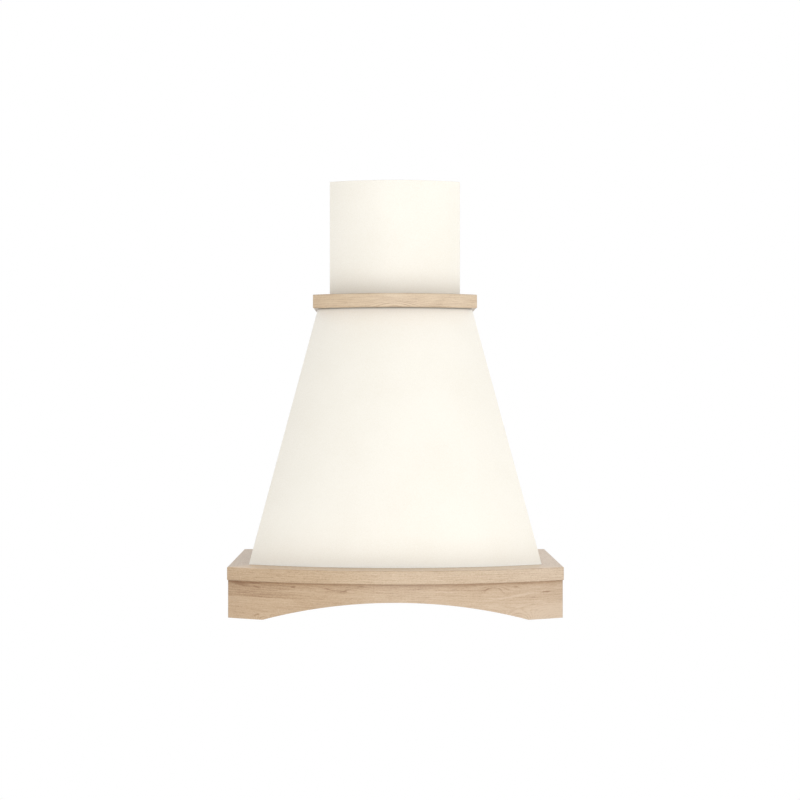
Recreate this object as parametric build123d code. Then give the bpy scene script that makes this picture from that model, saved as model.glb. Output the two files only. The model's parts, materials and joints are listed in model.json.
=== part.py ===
"""Bow-fronted wooden hood cover with its extractor insert, in millimetres.

X is to the right, the bowed front faces -Y and the wall is the plane Y = 0. Heights are modelled from the
underside of the apron's feet. On writing, everything is lowered so that the origin is the middle wall
screw hole of the cleat, on the wall plane.
"""
from build123d import *
from math import cos, radians, sqrt
import os

OVERRUN = 1.06             # bowed pieces are drawn this much wider, then trimmed by sides or mitres

# ---- Oak base band: shelf (mantel) over an arched apron
MANTEL_WIDTH = 600.0
MANTEL_CORNER = 414.0      # wall to front corner
MANTEL_BOW = 86.0          # how far the front bulges past its corners
MANTEL_THICKNESS = 23.5
MANTEL_SIDE_BOARD = 74.0   # width of the side boards
MANTEL_FRONT_BOARD = 86.0  # width of the front board at the corners
MANTEL_REAR_RAIL = 24.0
EDGE_ROUND = 1.5           # eased edges of the oak boards
APRON_HEIGHT = 67.5
APRON_THICKNESS = 20.0
APRON_SIDE_INSET = 1.2
APRON_FRONT_INSET = 8.0
ARCH_FOOT = 63.7           # flat foot left at each end of the arch
ARCH_RISE = 35.4
GLUE_BLOCK = 20.0
GLUE_BLOCK_LENGTH = 60.0
GLUE_BLOCK_SETBACKS = (100.0, 290.0)  # wall to the rear end of each block

# ---- Painted tapered body
BODY_HEIGHT = 470.5
BODY_SIDE_LEDGE = 35.0     # mantel beside the body, each side
BODY_FRONT_LEDGE = 54.0    # mantel in front of the body, at the corners
BODY_BASE_BOW = 76.0
BODY_TOP_BOW = 47.0
BODY_PANEL = 10.0
GLUE_GAP = 0.2
SAME_PLACE = 0.05          # edges this close to a place are taken to lie on it

# ---- Oak neck band
NECK_THICKNESS = 25.0
NECK_SIDE_OVERHANG = 8.5   # neck band beyond the body's top, each side
NECK_FRONT_OVERHANG = 27.0  # and in front of it, at the corners
NECK_BOW = 54.0
SHOULDER_SIDE = 21.9       # body's top beyond the chimney, each side
SHOULDER_FRONT = 20.0      # and in front of it, at the corners

# ---- Painted chimney sleeve, which slides up through the neck
CHIMNEY_RISE = 217.0       # height above the neck band
CHIMNEY_WIDTH = 247.2
CHIMNEY_CORNER = 185.0
CHIMNEY_BOW = 34.0
CHIMNEY_WALL = 8.0
CHIMNEY_BATTEN = 18.0
CHIMNEY_TIE_DEPTH = 16.0
CHIMNEY_TIE_HEIGHT = 45.0
STOP_BLOCK = 10.0
STOP_BLOCK_HEIGHT = 12.0
STOP_BLOCK_LENGTH = 80.0
SLEEVE_GAP = 0.5           # running gap of the sleeve in the neck
SEAT_GAP = 0.3             # gap between pieces of different bodies that rest on each other

# ---- Carcass
DECK_THICKNESS = 12.0
CUTOUT_GAP = 2.0           # insert housing in the deck's cut-out
FORMER_THICKNESS = 18.0
FORMER_CLEARANCE = 30.0    # housing's top to the underside of the middle former
RING_THICKNESS = 18.0
POST_SIZE = 26.0
STILE_WIDTH = 24.0
STILE_DEPTH = 36.0
RAIL_DEPTH = 18.0
RAIL_HEIGHT = 45.0
RAIL_CLEARANCE = 5.0       # hanging rail's top to the underside of the middle former
LOWER_RAIL_HEIGHT = 56.0
CLEAT_WIDTH = 300.0
CLEAT_BEVEL = 18.0         # rise of the bevel over the cleat's thickness
CLEAT_DROP = 42.0          # cleat below the bevel's low edge
CLEAT_GAP = 0.3
WALL_HOLE_RADIUS = 3.0
WALL_HOLE_SPACING = 110.0
LOWER_HOLE_SPACING = 260.0
COUNTERSINK_RADIUS = 6.0

# ---- Extractor insert
INSERT_HEIGHT = 228.0
FLANGE_CLEARANCE = 2.0     # flange in the mantel's opening
PAN_HEIGHT = 60.0          # wide lower part, over the filters
SIDE_SHOULDER = 58.0       # pan beside the narrower chamber round the blower, each side
FRONT_SHOULDER = 48.0      # and in front of it
SHEET = 1.5
FLANGE_LIP = 16.0
STRIP_DEPTH = 51.0         # control strip along the front
FILTER_OPENING_EDGE = 5.0
CENTRE_BAR = 12.0
INSERT_SCREW_RADIUS = 2.0
INSERT_SCREW_INSET = 12.0  # from the housing's front and rear faces
INSERT_SCREW_SHORT = 1.0   # screw's tip below the deck's top
DECK_SCREW_RADIUS = 2.0
DECK_SCREW_BITE = 14.0     # length of each deck screw in the mantel
DECK_SCREW_X = 120.0
DECK_SCREW_SETBACKS = (90.0, 250.0)
DECK_SCREW_EDGE = 10.0     # screw to the mantel's inner edge

# ---- Blower
DUCT_SETBACK = 120.0       # wall to the duct's axis
DUCT_RADIUS = 75.0
COLLAR_WALL = 1.5
COLLAR_HEIGHT = 72.0
COLLAR_FLANGE = 156.0
COLLAR_FLANGE_THICKNESS = 2.5
DUCT_CLEARANCE = 10.0      # room round the duct in the former
SCROLL_WIDTH = 120.0
SCROLL_WALL = 2.5
SCROLL_START = 77.0        # radius of the first quarter of the spiral
SCROLL_GROWTH = 7.0        # growth of the radius in each quarter
SCROLL_TONGUE = 6.0
WHEEL_RADIUS = 62.0
WHEEL_INNER = 50.0
WHEEL_WIDTH = 100.0
WHEEL_RING = 3.0
BLADE_COUNT = 30
BLADE_THICKNESS = 1.5
BLADE_INSET = 0.6          # blade inside the rings' inner and outer edges
BLADE_TILT = 35.0
HUB_RADIUS = 9.0
HUB_LENGTH = 20.0
SHAFT_RADIUS = 4.0
SHAFT_CLEARANCE = 0.05
INLET_RADIUS = 50.0
MOTOR_RADIUS = 38.0
MOTOR_LENGTH = 76.0
MOTOR_FLANGE = 43.0
MOTOR_FLANGE_THICKNESS = 3.0
MOTOR_PROUD = 26.0         # motor outside its flange
MOTOR_BORE_FLOOR = 8.0
BRACKET_THICKNESS = 3.0
BRACKET_REACH = 66.0
BRACKET_ARM = 12.0
BRACKET_ARMS = 3           # spaced evenly, the first one upright

# ---- Non-return flaps in the collar
FLAP_RADIUS = 72.0
FLAP_THICKNESS = 1.2
FLAP_AXIS_OFFSET = 5.0     # each flap's axis from the collar's centre line
FLAP_DROP = 27.0           # flap axis below the collar's mouth
FLAP_PIN_RADIUS = 1.5
FLAP_LEDGE = 3.5
FLAP_LEDGE_HEIGHT = 2.5
FLAP_BAR = 4.4

# ---- Grease filters
FILTER_THICKNESS = 9.0
FILTER_GAP = 1.0
FILTER_RIM = 14.0
FILTER_CORE = 6.0
FILTER_HOLE_RADIUS = 6.0
FILTER_HOLE_PITCH = 15.5
FILTER_LIFT = 0.5          # filter's underside above the flange's underside
FILTER_PIN_RADIUS = 2.0
FILTER_PIN_LENGTH = 4.0
FILTER_PIVOT_INSET = 1.0   # opening's rear edge to the filter's rounded rear edge
LUG_WIDTH = 3.0
LUG_DEPTH = 11.0
LUG_HEIGHT = 9.0
PULL_WIDTH = 24.0
PULL_DEPTH = 7.0
PULL_DROP = 5.0
PULL_INSET = 2.0

# ---- Lamps and switches
LAMP_SPACING = 300.0
LAMP_RADIUS = 22.0
LAMP_BODY_RADIUS = 18.8
LAMP_LENS_RADIUS = 16.0
LAMP_FLANGE = 1.5
LAMP_HEIGHT = 12.0
LENS_THICKNESS = 2.0
BUTTON_COUNT = 5
BUTTON_SPACING = 24.0
BUTTON_RADIUS = 5.0
BUTTON_CLEARANCE = 0.1
BUTTON_PROUD = 3.5         # button's face below the strip
BUTTON_SHOULDER = 6.5
BUTTON_SHOULDER_THICKNESS = 1.5
BUTTON_TRAVEL = 2.5
BUTTON_STEM_RADIUS = 2.0
BUTTON_STEM_LENGTH = 10.0
BUTTON_OVERTRAVEL = 1.0
SWITCH_WIDTH = 128.0
SWITCH_DEPTH = 33.0
SWITCH_HEIGHT = 20.0
SWITCH_LEG = 5.0
TERMINAL_SIZE = 50.0
TERMINAL_HEIGHT = 25.0
TERMINAL_WALL = 2.0
TERMINAL_GAP = 4.0         # chamber's side to the terminal box
GLAND_RADIUS = 8.0
GLAND_BORE = 3.5
GLAND_LENGTH = 16.0

# ---- Levels and places that follow from the sizes above
MANTEL_TOP = APRON_HEIGHT + MANTEL_THICKNESS
BODY_TOP = MANTEL_TOP + BODY_HEIGHT
NECK_TOP = BODY_TOP + NECK_THICKNESS
CHIMNEY_TOP = NECK_TOP + CHIMNEY_RISE
DECK_TOP = MANTEL_TOP + DECK_THICKNESS
BODY_BASE_WIDTH = MANTEL_WIDTH - 2 * BODY_SIDE_LEDGE
BODY_BASE_CORNER = MANTEL_CORNER - BODY_FRONT_LEDGE
BODY_TOP_WIDTH = CHIMNEY_WIDTH + 2 * SHOULDER_SIDE
BODY_TOP_CORNER = CHIMNEY_CORNER + SHOULDER_FRONT
NECK_WIDTH = BODY_TOP_WIDTH + 2 * NECK_SIDE_OVERHANG
NECK_CORNER = BODY_TOP_CORNER + NECK_FRONT_OVERHANG
OPENING_HALF = MANTEL_WIDTH / 2 - MANTEL_SIDE_BOARD
OPENING_FRONT = MANTEL_CORNER - MANTEL_FRONT_BOARD
INSERT_WIDTH = 2 * (OPENING_HALF - FLANGE_CLEARANCE - FLANGE_LIP)
INSERT_SETBACK = MANTEL_REAR_RAIL + FLANGE_CLEARANCE + FLANGE_LIP
HOUSING_FRONT = OPENING_FRONT - FLANGE_CLEARANCE - FLANGE_LIP
HOUSING_TOP = MANTEL_TOP + INSERT_HEIGHT
CHAMBER_WIDTH = INSERT_WIDTH - 2 * SIDE_SHOULDER
CHAMBER_FRONT = HOUSING_FRONT - FRONT_SHOULDER
FORMER_HEIGHT = HOUSING_TOP + FORMER_CLEARANCE
RAIL_TOP = FORMER_HEIGHT - RAIL_CLEARANCE
SLEEVE_FOOT = FORMER_HEIGHT + FORMER_THICKNESS + SEAT_GAP
CLEAT_LOW = RAIL_TOP - RAIL_HEIGHT - CLEAT_GAP
CLEAT_HOLE_HEIGHT = CLEAT_LOW - CLEAT_DROP / 2
FLANGE_FLOOR = MANTEL_TOP - SHEET
PAN_TOP = MANTEL_TOP + PAN_HEIGHT
STRIP_CENTRE = HOUSING_FRONT - STRIP_DEPTH / 2
FILTER_FRONT = HOUSING_FRONT - STRIP_DEPTH
FILTER_REAR = INSERT_SETBACK + FILTER_OPENING_EDGE
FILTER_HALF = INSERT_WIDTH / 2 - FILTER_OPENING_EDGE
FILTER_FLOOR = FLANGE_FLOOR + FILTER_LIFT
PIVOT_HEIGHT = FILTER_FLOOR + FILTER_THICKNESS / 2
PIVOT_SETBACK = FILTER_REAR + FILTER_PIVOT_INSET + FILTER_THICKNESS / 2
FLAP_HEIGHT = HOUSING_TOP + COLLAR_HEIGHT - FLAP_DROP


def bow_radius(half, bow):
    """Radius of an arc of a given half width and rise."""
    return (half**2 + bow**2) / (2 * bow)


def bow_depth(x, half, corner, bow):
    """Distance from the wall to the bowed front at x."""
    radius = bow_radius(half, bow)
    return corner + sqrt(radius**2 - x**2) - (radius - bow)


def bow_arc(half, corner, bow, reach, z=0.0):
    """Circular front edge between -reach and +reach, at height z."""
    side = -bow_depth(reach, half, corner, bow)
    return ThreePointArc((-reach, side, z), (0, -corner - bow, z), (reach, side, z))


def polygon(points, z=0.0):
    """Flat face through the points, at height z."""
    return make_face(Polyline(*[(x, y, z) for x, y in points], close=True))


def block(x0, x1, y0, y1, z0, z1):
    """Box between two corners."""
    return Pos((x0 + x1) / 2, (y0 + y1) / 2, (z0 + z1) / 2) * Box(x1 - x0, y1 - y0, z1 - z0)


def rod(centre, axis, radius, length):
    """Cylinder that starts at centre and runs length along the axis, 'X', 'Y' or 'Z'."""
    turn = {"X": Rot(0, 90, 0), "Y": Rot(-90, 0, 0), "Z": Rot(0, 0, 0)}[axis]
    return Pos(*centre) * turn * Cylinder(radius, length, align=(Align.CENTER, Align.CENTER, Align.MIN))


def mirrored(part):
    """The same piece on the other side of the centre line."""
    return mirror(part, about=Plane.YZ)


def raised(face, z, height):
    """Face drawn at height 0, made into a plate that stands at z."""
    return Pos(0, 0, z) * extrude(face, height)


def eased(board, edges, thickness):
    """Board with the given outer edges rounded over."""
    return board.fillet(min(EDGE_ROUND, thickness / 4), edges)


def bowed_board(half, corner, bow, z, thickness):
    """Board behind a bowed front edge, overrunning both corners, with that edge eased."""
    reach = half * OVERRUN
    arc = bow_arc(half, corner, bow, reach)
    rear = Polyline(arc @ 1, (reach, 0), (-reach, 0), arc @ 0)
    board = raised(make_face([arc, *rear.edges()]), z, thickness)
    arcs = board.edges().filter_by(GeomType.CIRCLE)
    return eased(board, arcs, thickness)


def side_board(inner, half, corner, z, thickness):
    """Straight board along the right side, overrunning its front corner, with its outer edges eased."""
    board = block(inner, half, -corner * OVERRUN, 0, z, z + thickness)
    edges = board.edges().filter_by(Axis.Y).filter_by(lambda edge: abs(edge.center().X - half) < SAME_PLACE)
    return eased(board, edges, thickness)


def mitre_wedge(inner, outer, z, height):
    """Everything in front of the two mitres, which run from the inner corners out through the outer ones."""
    far_x = 2 * outer[0] - inner[0]
    far_y = 2 * outer[1] - inner[1]
    front = -2 * MANTEL_WIDTH
    outline = [inner, (far_x, far_y), (far_x, front)]
    other_side = [(-x, y) for x, y in reversed(outline)]
    return raised(polygon(outline + other_side), z, height)


# ---- Oak base band ------------------------------------------------------------------------------------
def make_mantel():
    half = MANTEL_WIDTH / 2
    wedge = mitre_wedge(
        (OPENING_HALF, -OPENING_FRONT), (half, -MANTEL_CORNER), APRON_HEIGHT, MANTEL_THICKNESS
    )
    front = bowed_board(half, MANTEL_CORNER, MANTEL_BOW, APRON_HEIGHT, MANTEL_THICKNESS) & wedge
    side = side_board(OPENING_HALF, half, MANTEL_CORNER, APRON_HEIGHT, MANTEL_THICKNESS) - wedge
    rail = block(-OPENING_HALF, OPENING_HALF, -MANTEL_REAR_RAIL, 0, APRON_HEIGHT, MANTEL_TOP)
    front = front - deck_screws(GLUE_GAP)
    side = side - deck_screws(GLUE_GAP)
    return {
        "mantel_front": front,
        "mantel_side_right": side,
        "mantel_side_left": mirrored(side),
        "mantel_rear_rail": rail,
    }


def make_apron():
    half = MANTEL_WIDTH / 2 - APRON_SIDE_INSET
    corner = MANTEL_CORNER - APRON_FRONT_INSET
    inner_half = half - APRON_THICKNESS
    inner_corner = bow_depth(inner_half, half, corner, MANTEL_BOW) - APRON_THICKNESS
    outer = bow_arc(half, corner, MANTEL_BOW, half)
    back = bow_arc(half, corner - APRON_THICKNESS, MANTEL_BOW, inner_half)
    ends = [
        Line((half, -corner), (inner_half, -inner_corner)),
        Line((-half, -corner), (-inner_half, -inner_corner)),
    ]
    board = extrude(make_face([outer, back, *ends]), APRON_HEIGHT)
    arch_half = half - ARCH_FOOT
    arch_radius = bow_radius(arch_half, ARCH_RISE)
    arch = rod((0, 0, ARCH_RISE - arch_radius), "Y", arch_radius, MANTEL_CORNER + 2 * MANTEL_BOW)
    arch = Pos(0, -MANTEL_CORNER - 2 * MANTEL_BOW, 0) * arch
    front = board - arch
    side_face = polygon([(half, -corner), (half, 0), (inner_half, 0), (inner_half, -inner_corner)])
    side = extrude(side_face, APRON_HEIGHT)
    return {
        "apron_front": front,
        "apron_side_right": side,
        "apron_side_left": mirrored(side),
        "apron_glue_blocks": make_glue_blocks(inner_half),
    }


def make_glue_blocks(inner_half):
    section = make_face(Polyline(
        (inner_half, 0, APRON_HEIGHT), (inner_half, 0, APRON_HEIGHT - GLUE_BLOCK),
        (inner_half - GLUE_BLOCK, 0, APRON_HEIGHT), close=True,
    ))
    prism = extrude(section, GLUE_BLOCK_LENGTH, dir=(0, -1, 0))
    blocks = []
    for setback in GLUE_BLOCK_SETBACKS:
        placed = Pos(0, -setback, 0) * prism
        blocks += [placed, mirrored(placed)]
    return blocks


# ---- Tapered body --------------------------------------------------------------------------------------
def bowed_block(set_back):
    """Everything behind the tapered bowed front, its front moved back by set_back."""
    faces = []
    levels = (
        (MANTEL_TOP, BODY_BASE_WIDTH / 2, BODY_BASE_CORNER, BODY_BASE_BOW),
        (BODY_TOP, BODY_TOP_WIDTH / 2, BODY_TOP_CORNER, BODY_TOP_BOW),
    )
    for z, half, corner, bow in levels:
        reach = half * OVERRUN
        arc = bow_arc(half, corner - set_back, bow, reach, z)
        start = arc @ 0
        end = arc @ 1
        rear = Polyline(end, (reach, BODY_PANEL, z), (-reach, BODY_PANEL, z), start)
        faces.append(make_face([arc, *rear.edges()]))
    return loft(faces, ruled=True)


def side_wedge(inset):
    """The space between the two sloping sides, drawn in by inset, from the wall forward."""
    base = BODY_BASE_WIDTH / 2 - inset
    top = BODY_TOP_WIDTH / 2 - inset
    outline = Polyline(
        (-base, 0, MANTEL_TOP), (base, 0, MANTEL_TOP), (top, 0, BODY_TOP), (-top, 0, BODY_TOP), close=True
    )
    return extrude(make_face(outline), BODY_BASE_CORNER + 2 * BODY_BASE_BOW, dir=(0, -1, 0))


def slab(z0, z1):
    """Everything of the body between two heights."""
    reach = MANTEL_WIDTH
    return block(-reach, reach, -reach, reach, z0, z1)


def right_half(part):
    return part & block(0, MANTEL_WIDTH, -MANTEL_WIDTH, MANTEL_WIDTH, 0, CHIMNEY_TOP)


def make_body(inside):
    front = (bowed_block(0) - bowed_block(BODY_PANEL)) & side_wedge(0)
    walls = (side_wedge(0) - side_wedge(BODY_PANEL)) & bowed_block(BODY_PANEL + GLUE_GAP)
    side = right_half(walls)
    post = inside - bowed_block(BODY_PANEL + GLUE_GAP + POST_SIZE)
    post = post - side_wedge(BODY_PANEL + POST_SIZE)
    post = right_half(post & slab(DECK_TOP, FORMER_HEIGHT))
    stile = side_wedge(BODY_PANEL) - side_wedge(BODY_PANEL + STILE_WIDTH)
    stile = stile & block(0, MANTEL_WIDTH, -STILE_DEPTH, 0, DECK_TOP, FORMER_HEIGHT)
    return {
        "body_front_panel": front,
        "body_side_right": side,
        "body_side_left": mirrored(side),
        "corner_post_right": post,
        "corner_post_left": mirrored(post),
        "rear_stile_right": stile,
        "rear_stile_left": mirrored(stile),
    }


def deck_screw_places():
    """Screws down through the deck into the mantel's side boards and front board."""
    side = OPENING_HALF + DECK_SCREW_EDGE
    front = OPENING_FRONT + DECK_SCREW_EDGE
    right = [(side, -setback) for setback in DECK_SCREW_SETBACKS] + [(DECK_SCREW_X, -front)]
    return right + [(-x, y) for x, y in right]


def deck_screws(clearance):
    """Countersunk screws, drawn out by a clearance to cut their holes."""
    length = DECK_THICKNESS + DECK_SCREW_BITE
    screws = []
    for x, y in deck_screw_places():
        shank = rod((x, y, DECK_TOP - length), "Z", DECK_SCREW_RADIUS + clearance, length)
        head = Pos(x, y, DECK_TOP) * Cone(
            DECK_SCREW_RADIUS + clearance, 2 * DECK_SCREW_RADIUS + clearance, DECK_SCREW_RADIUS,
            align=(Align.CENTER, Align.CENTER, Align.MAX),
        )
        screws.append(shank + head)
    return screws


def make_formers(inside):
    cut_half = INSERT_WIDTH / 2 + CUTOUT_GAP
    cut_rear = INSERT_SETBACK - CUTOUT_GAP
    cut_front = HOUSING_FRONT + CUTOUT_GAP
    cut = block(-cut_half, cut_half, -cut_front, -cut_rear, MANTEL_TOP, DECK_TOP)
    deck = (inside & slab(MANTEL_TOP, DECK_TOP)) - cut - insert_screw_rods(INSERT_SCREW_RADIUS)
    deck = deck - deck_screws(GLUE_GAP)
    duct_hole = rod((0, -DUCT_SETBACK, 0), "Z", DUCT_RADIUS + DUCT_CLEARANCE, CHIMNEY_TOP)
    former = (inside & slab(FORMER_HEIGHT, FORMER_HEIGHT + FORMER_THICKNESS)) - duct_hole
    ring_floor = BODY_TOP - RING_THICKNESS
    ring = (inside & slab(ring_floor, BODY_TOP)) - sleeve_way(ring_floor, RING_THICKNESS)
    return {
        "base_deck": deck,
        "deck_screws": deck_screws(0),
        "middle_former": former,
        "neck_ring": ring,
    }


def make_rails():
    between = side_wedge(BODY_PANEL + STILE_WIDTH)
    bevel_low = RAIL_TOP - RAIL_HEIGHT
    rail = between & block(-MANTEL_WIDTH, MANTEL_WIDTH, -RAIL_DEPTH, 0, bevel_low, RAIL_TOP)
    below = make_face(Polyline(
        (-MANTEL_WIDTH, 0, bevel_low), (-MANTEL_WIDTH, -RAIL_DEPTH, bevel_low + CLEAT_BEVEL),
        (-MANTEL_WIDTH, -RAIL_DEPTH, bevel_low), close=True,
    ))
    rail = rail - extrude(below, 2 * MANTEL_WIDTH, dir=(1, 0, 0))
    lower = between & block(
        -MANTEL_WIDTH, MANTEL_WIDTH, -RAIL_DEPTH, 0, DECK_TOP, DECK_TOP + LOWER_RAIL_HEIGHT
    )
    lower_height = DECK_TOP + LOWER_RAIL_HEIGHT / 2
    for x in (-LOWER_HOLE_SPACING / 2, LOWER_HOLE_SPACING / 2):
        lower = lower - wall_hole(x, lower_height)
    section = make_face(Polyline(
        (-CLEAT_WIDTH / 2, 0, CLEAT_LOW), (-CLEAT_WIDTH / 2, -RAIL_DEPTH, CLEAT_LOW + CLEAT_BEVEL),
        (-CLEAT_WIDTH / 2, -RAIL_DEPTH, CLEAT_LOW - CLEAT_DROP),
        (-CLEAT_WIDTH / 2, 0, CLEAT_LOW - CLEAT_DROP), close=True,
    ))
    cleat = extrude(section, CLEAT_WIDTH, dir=(1, 0, 0))
    for x in (-WALL_HOLE_SPACING, 0, WALL_HOLE_SPACING):
        cleat = cleat - wall_hole(x, CLEAT_HOLE_HEIGHT)
    return {"hanging_rail": rail, "rear_bottom_rail": lower, "wall_cleat": cleat}


def wall_hole(x, z):
    """Screw hole through a rail, countersunk on the room side."""
    sink_depth = COUNTERSINK_RADIUS - WALL_HOLE_RADIUS
    hole = Pos(x, -RAIL_DEPTH, z) * Rot(-90, 0, 0) * Cylinder(
        WALL_HOLE_RADIUS, RAIL_DEPTH, align=(Align.CENTER, Align.CENTER, Align.MIN)
    )
    sink = Pos(x, -RAIL_DEPTH, z) * Rot(-90, 0, 0) * Cone(
        COUNTERSINK_RADIUS, WALL_HOLE_RADIUS, sink_depth, align=(Align.CENTER, Align.CENTER, Align.MIN)
    )
    return hole + sink


# ---- Neck band and chimney sleeve -----------------------------------------------------------------------
def sleeve_way(z, height):
    """The sleeve's outline with its running gap all round, open to the wall."""
    half = CHIMNEY_WIDTH / 2 + SLEEVE_GAP
    corner = bow_depth(half, CHIMNEY_WIDTH / 2, CHIMNEY_CORNER + SLEEVE_GAP, CHIMNEY_BOW)
    arc = bow_arc(CHIMNEY_WIDTH / 2, CHIMNEY_CORNER + SLEEVE_GAP, CHIMNEY_BOW, half)
    rear = Polyline((half, -corner), (half, BODY_PANEL), (-half, BODY_PANEL), (-half, -corner))
    return raised(make_face([arc, *rear.edges()]), z, height)


def make_neck():
    half = NECK_WIDTH / 2
    hole_half = CHIMNEY_WIDTH / 2 + SLEEVE_GAP
    hole_corner = bow_depth(hole_half, CHIMNEY_WIDTH / 2, CHIMNEY_CORNER + SLEEVE_GAP, CHIMNEY_BOW)
    wedge = mitre_wedge((hole_half, -hole_corner), (half, -NECK_CORNER), BODY_TOP, NECK_THICKNESS)
    board = bowed_board(half, NECK_CORNER, NECK_BOW, BODY_TOP, NECK_THICKNESS) & wedge
    front = board - sleeve_way(BODY_TOP, NECK_THICKNESS)
    side = side_board(hole_half, half, NECK_CORNER, BODY_TOP, NECK_THICKNESS) - wedge
    return {
        "neck_band_front": front,
        "neck_band_side_right": side,
        "neck_band_side_left": mirrored(side),
    }


def make_chimney():
    half = CHIMNEY_WIDTH / 2
    inner = half - CHIMNEY_WALL
    height = CHIMNEY_TOP - SLEEVE_FOOT
    inner_front = CHIMNEY_CORNER - CHIMNEY_WALL

    def inside_depth(x):
        return bow_depth(x, half, inner_front, CHIMNEY_BOW) - GLUE_GAP

    outer = bow_arc(half, CHIMNEY_CORNER, CHIMNEY_BOW, half)
    back = bow_arc(half, inner_front, CHIMNEY_BOW, half)
    ends = [
        Line((half, -CHIMNEY_CORNER), (half, -inner_front)),
        Line((-half, -CHIMNEY_CORNER), (-half, -inner_front)),
    ]
    front = raised(make_face([outer, back, *ends]), SLEEVE_FOOT, height)
    side_face = polygon([(half, -inside_depth(half)), (half, 0), (inner, 0), (inner, -inside_depth(inner))])
    side = raised(side_face, SLEEVE_FOOT, height)
    batten_in = inner - CHIMNEY_BATTEN
    batten_rear = inside_depth(inner) - CHIMNEY_BATTEN
    batten_face = polygon([
        (inner, -inside_depth(inner)), (inner, -batten_rear), (batten_in, -batten_rear),
        (batten_in, -inside_depth(batten_in)),
    ])
    batten = raised(batten_face, SLEEVE_FOOT, height - CHIMNEY_BATTEN)
    tie_top = CHIMNEY_TOP - CHIMNEY_BATTEN
    ties = [
        block(-inner, inner, -CHIMNEY_TIE_DEPTH, 0, z, z + CHIMNEY_TIE_HEIGHT)
        for z in (SLEEVE_FOOT, tie_top - CHIMNEY_TIE_HEIGHT)
    ]
    stop = block(
        half, half + STOP_BLOCK, -inner_front / 2 - STOP_BLOCK_LENGTH / 2,
        -inner_front / 2 + STOP_BLOCK_LENGTH / 2, SLEEVE_FOOT, SLEEVE_FOOT + STOP_BLOCK_HEIGHT,
    )
    return {
        "chimney_front": front,
        "chimney_side_right": side,
        "chimney_side_left": mirrored(side),
        "chimney_batten_right": batten,
        "chimney_batten_left": mirrored(batten),
        "chimney_rear_ties": ties,
        "chimney_stop_blocks": [stop, mirrored(stop)],
    }


# ---- Extractor insert -----------------------------------------------------------------------------------
def insert_screw_places():
    """Screws at the four corners of the flange."""
    x = INSERT_WIDTH / 2 + FLANGE_LIP / 2
    setbacks = (INSERT_SETBACK + INSERT_SCREW_INSET, HOUSING_FRONT - INSERT_SCREW_INSET)
    return [(sign * x, -setback) for sign in (-1, 1) for setback in setbacks]


def insert_screw_rods(radius):
    """Bores for the flange screws, through flange and deck."""
    rods = [
        rod((x, y, FLANGE_FLOOR - SHEET), "Z", radius, DECK_THICKNESS + 2 * SHEET)
        for x, y in insert_screw_places()
    ]
    return Part() + rods


def insert_box(half, front, top, inset):
    """Box from the deck up to top, drawn in by the sheet's thickness everywhere but below."""
    return block(
        -half + inset, half - inset, -front + inset, -INSERT_SETBACK - inset, MANTEL_TOP, top - inset
    )


def make_insert():
    half = INSERT_WIDTH / 2
    outer = insert_box(half, HOUSING_FRONT, PAN_TOP, 0)
    outer = outer + insert_box(CHAMBER_WIDTH / 2, CHAMBER_FRONT, HOUSING_TOP, 0)
    hollow = insert_box(half, HOUSING_FRONT, PAN_TOP, SHEET)
    hollow = hollow + insert_box(CHAMBER_WIDTH / 2, CHAMBER_FRONT, HOUSING_TOP, SHEET)
    flange_rear = INSERT_SETBACK - FLANGE_LIP
    flange_front = HOUSING_FRONT + FLANGE_LIP
    flange = block(
        -half - FLANGE_LIP, half + FLANGE_LIP, -flange_front, -flange_rear, FLANGE_FLOOR, MANTEL_TOP
    )
    opening = block(
        CENTRE_BAR / 2, FILTER_HALF, -FILTER_FRONT, -FILTER_REAR, FLANGE_FLOOR, MANTEL_TOP
    )
    housing = outer - hollow + (flange - opening - mirrored(opening))
    housing = housing - scroll_channel(HOUSING_TOP) - insert_screw_rods(INSERT_SCREW_RADIUS)
    for x in (-LAMP_SPACING / 2, LAMP_SPACING / 2):
        housing = housing - rod((x, -STRIP_CENTRE, FLANGE_FLOOR), "Z", LAMP_BODY_RADIUS + SEAT_GAP, SHEET)
    for x in button_places():
        hole_radius = BUTTON_RADIUS + BUTTON_CLEARANCE
        housing = housing - rod((x, -STRIP_CENTRE, FLANGE_FLOOR), "Z", hole_radius, SHEET)
    return {
        "insert_housing": housing,
        "insert_screws": make_insert_screws(),
        "filter_hinge_lugs": make_hinge_lugs(),
    }


def make_insert_screws():
    """Pan-head screws from below, each a head and a shank."""
    shank = INSERT_SCREW_RADIUS - GLUE_GAP
    head = 2 * INSERT_SCREW_RADIUS
    head_height = INSERT_SCREW_RADIUS
    screws = []
    for x, y in insert_screw_places():
        screw = rod((x, y, FLANGE_FLOOR - head_height), "Z", head, head_height)
        screw = screw + rod((x, y, FLANGE_FLOOR), "Z", shank, SHEET + DECK_THICKNESS - INSERT_SCREW_SHORT)
        screws.append(screw)
    return screws


def make_hinge_lugs():
    """Upright lugs on the flange, bored for the filters' pins."""
    outer_low = FILTER_HALF + SEAT_GAP
    spans = [
        (-outer_low - LUG_WIDTH, -outer_low), (-CENTRE_BAR / 2 + FILTER_GAP, CENTRE_BAR / 2 - FILTER_GAP),
        (outer_low, outer_low + LUG_WIDTH),
    ]
    bore = rod(
        (-MANTEL_WIDTH, -PIVOT_SETBACK, PIVOT_HEIGHT), "X",
        FILTER_PIN_RADIUS + SHAFT_CLEARANCE, 2 * MANTEL_WIDTH,
    )
    return [
        block(
            low, high, -PIVOT_SETBACK - LUG_DEPTH / 2, -PIVOT_SETBACK + LUG_DEPTH / 2,
            MANTEL_TOP, MANTEL_TOP + LUG_HEIGHT,
        ) - bore
        for low, high in spans
    ]


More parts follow.
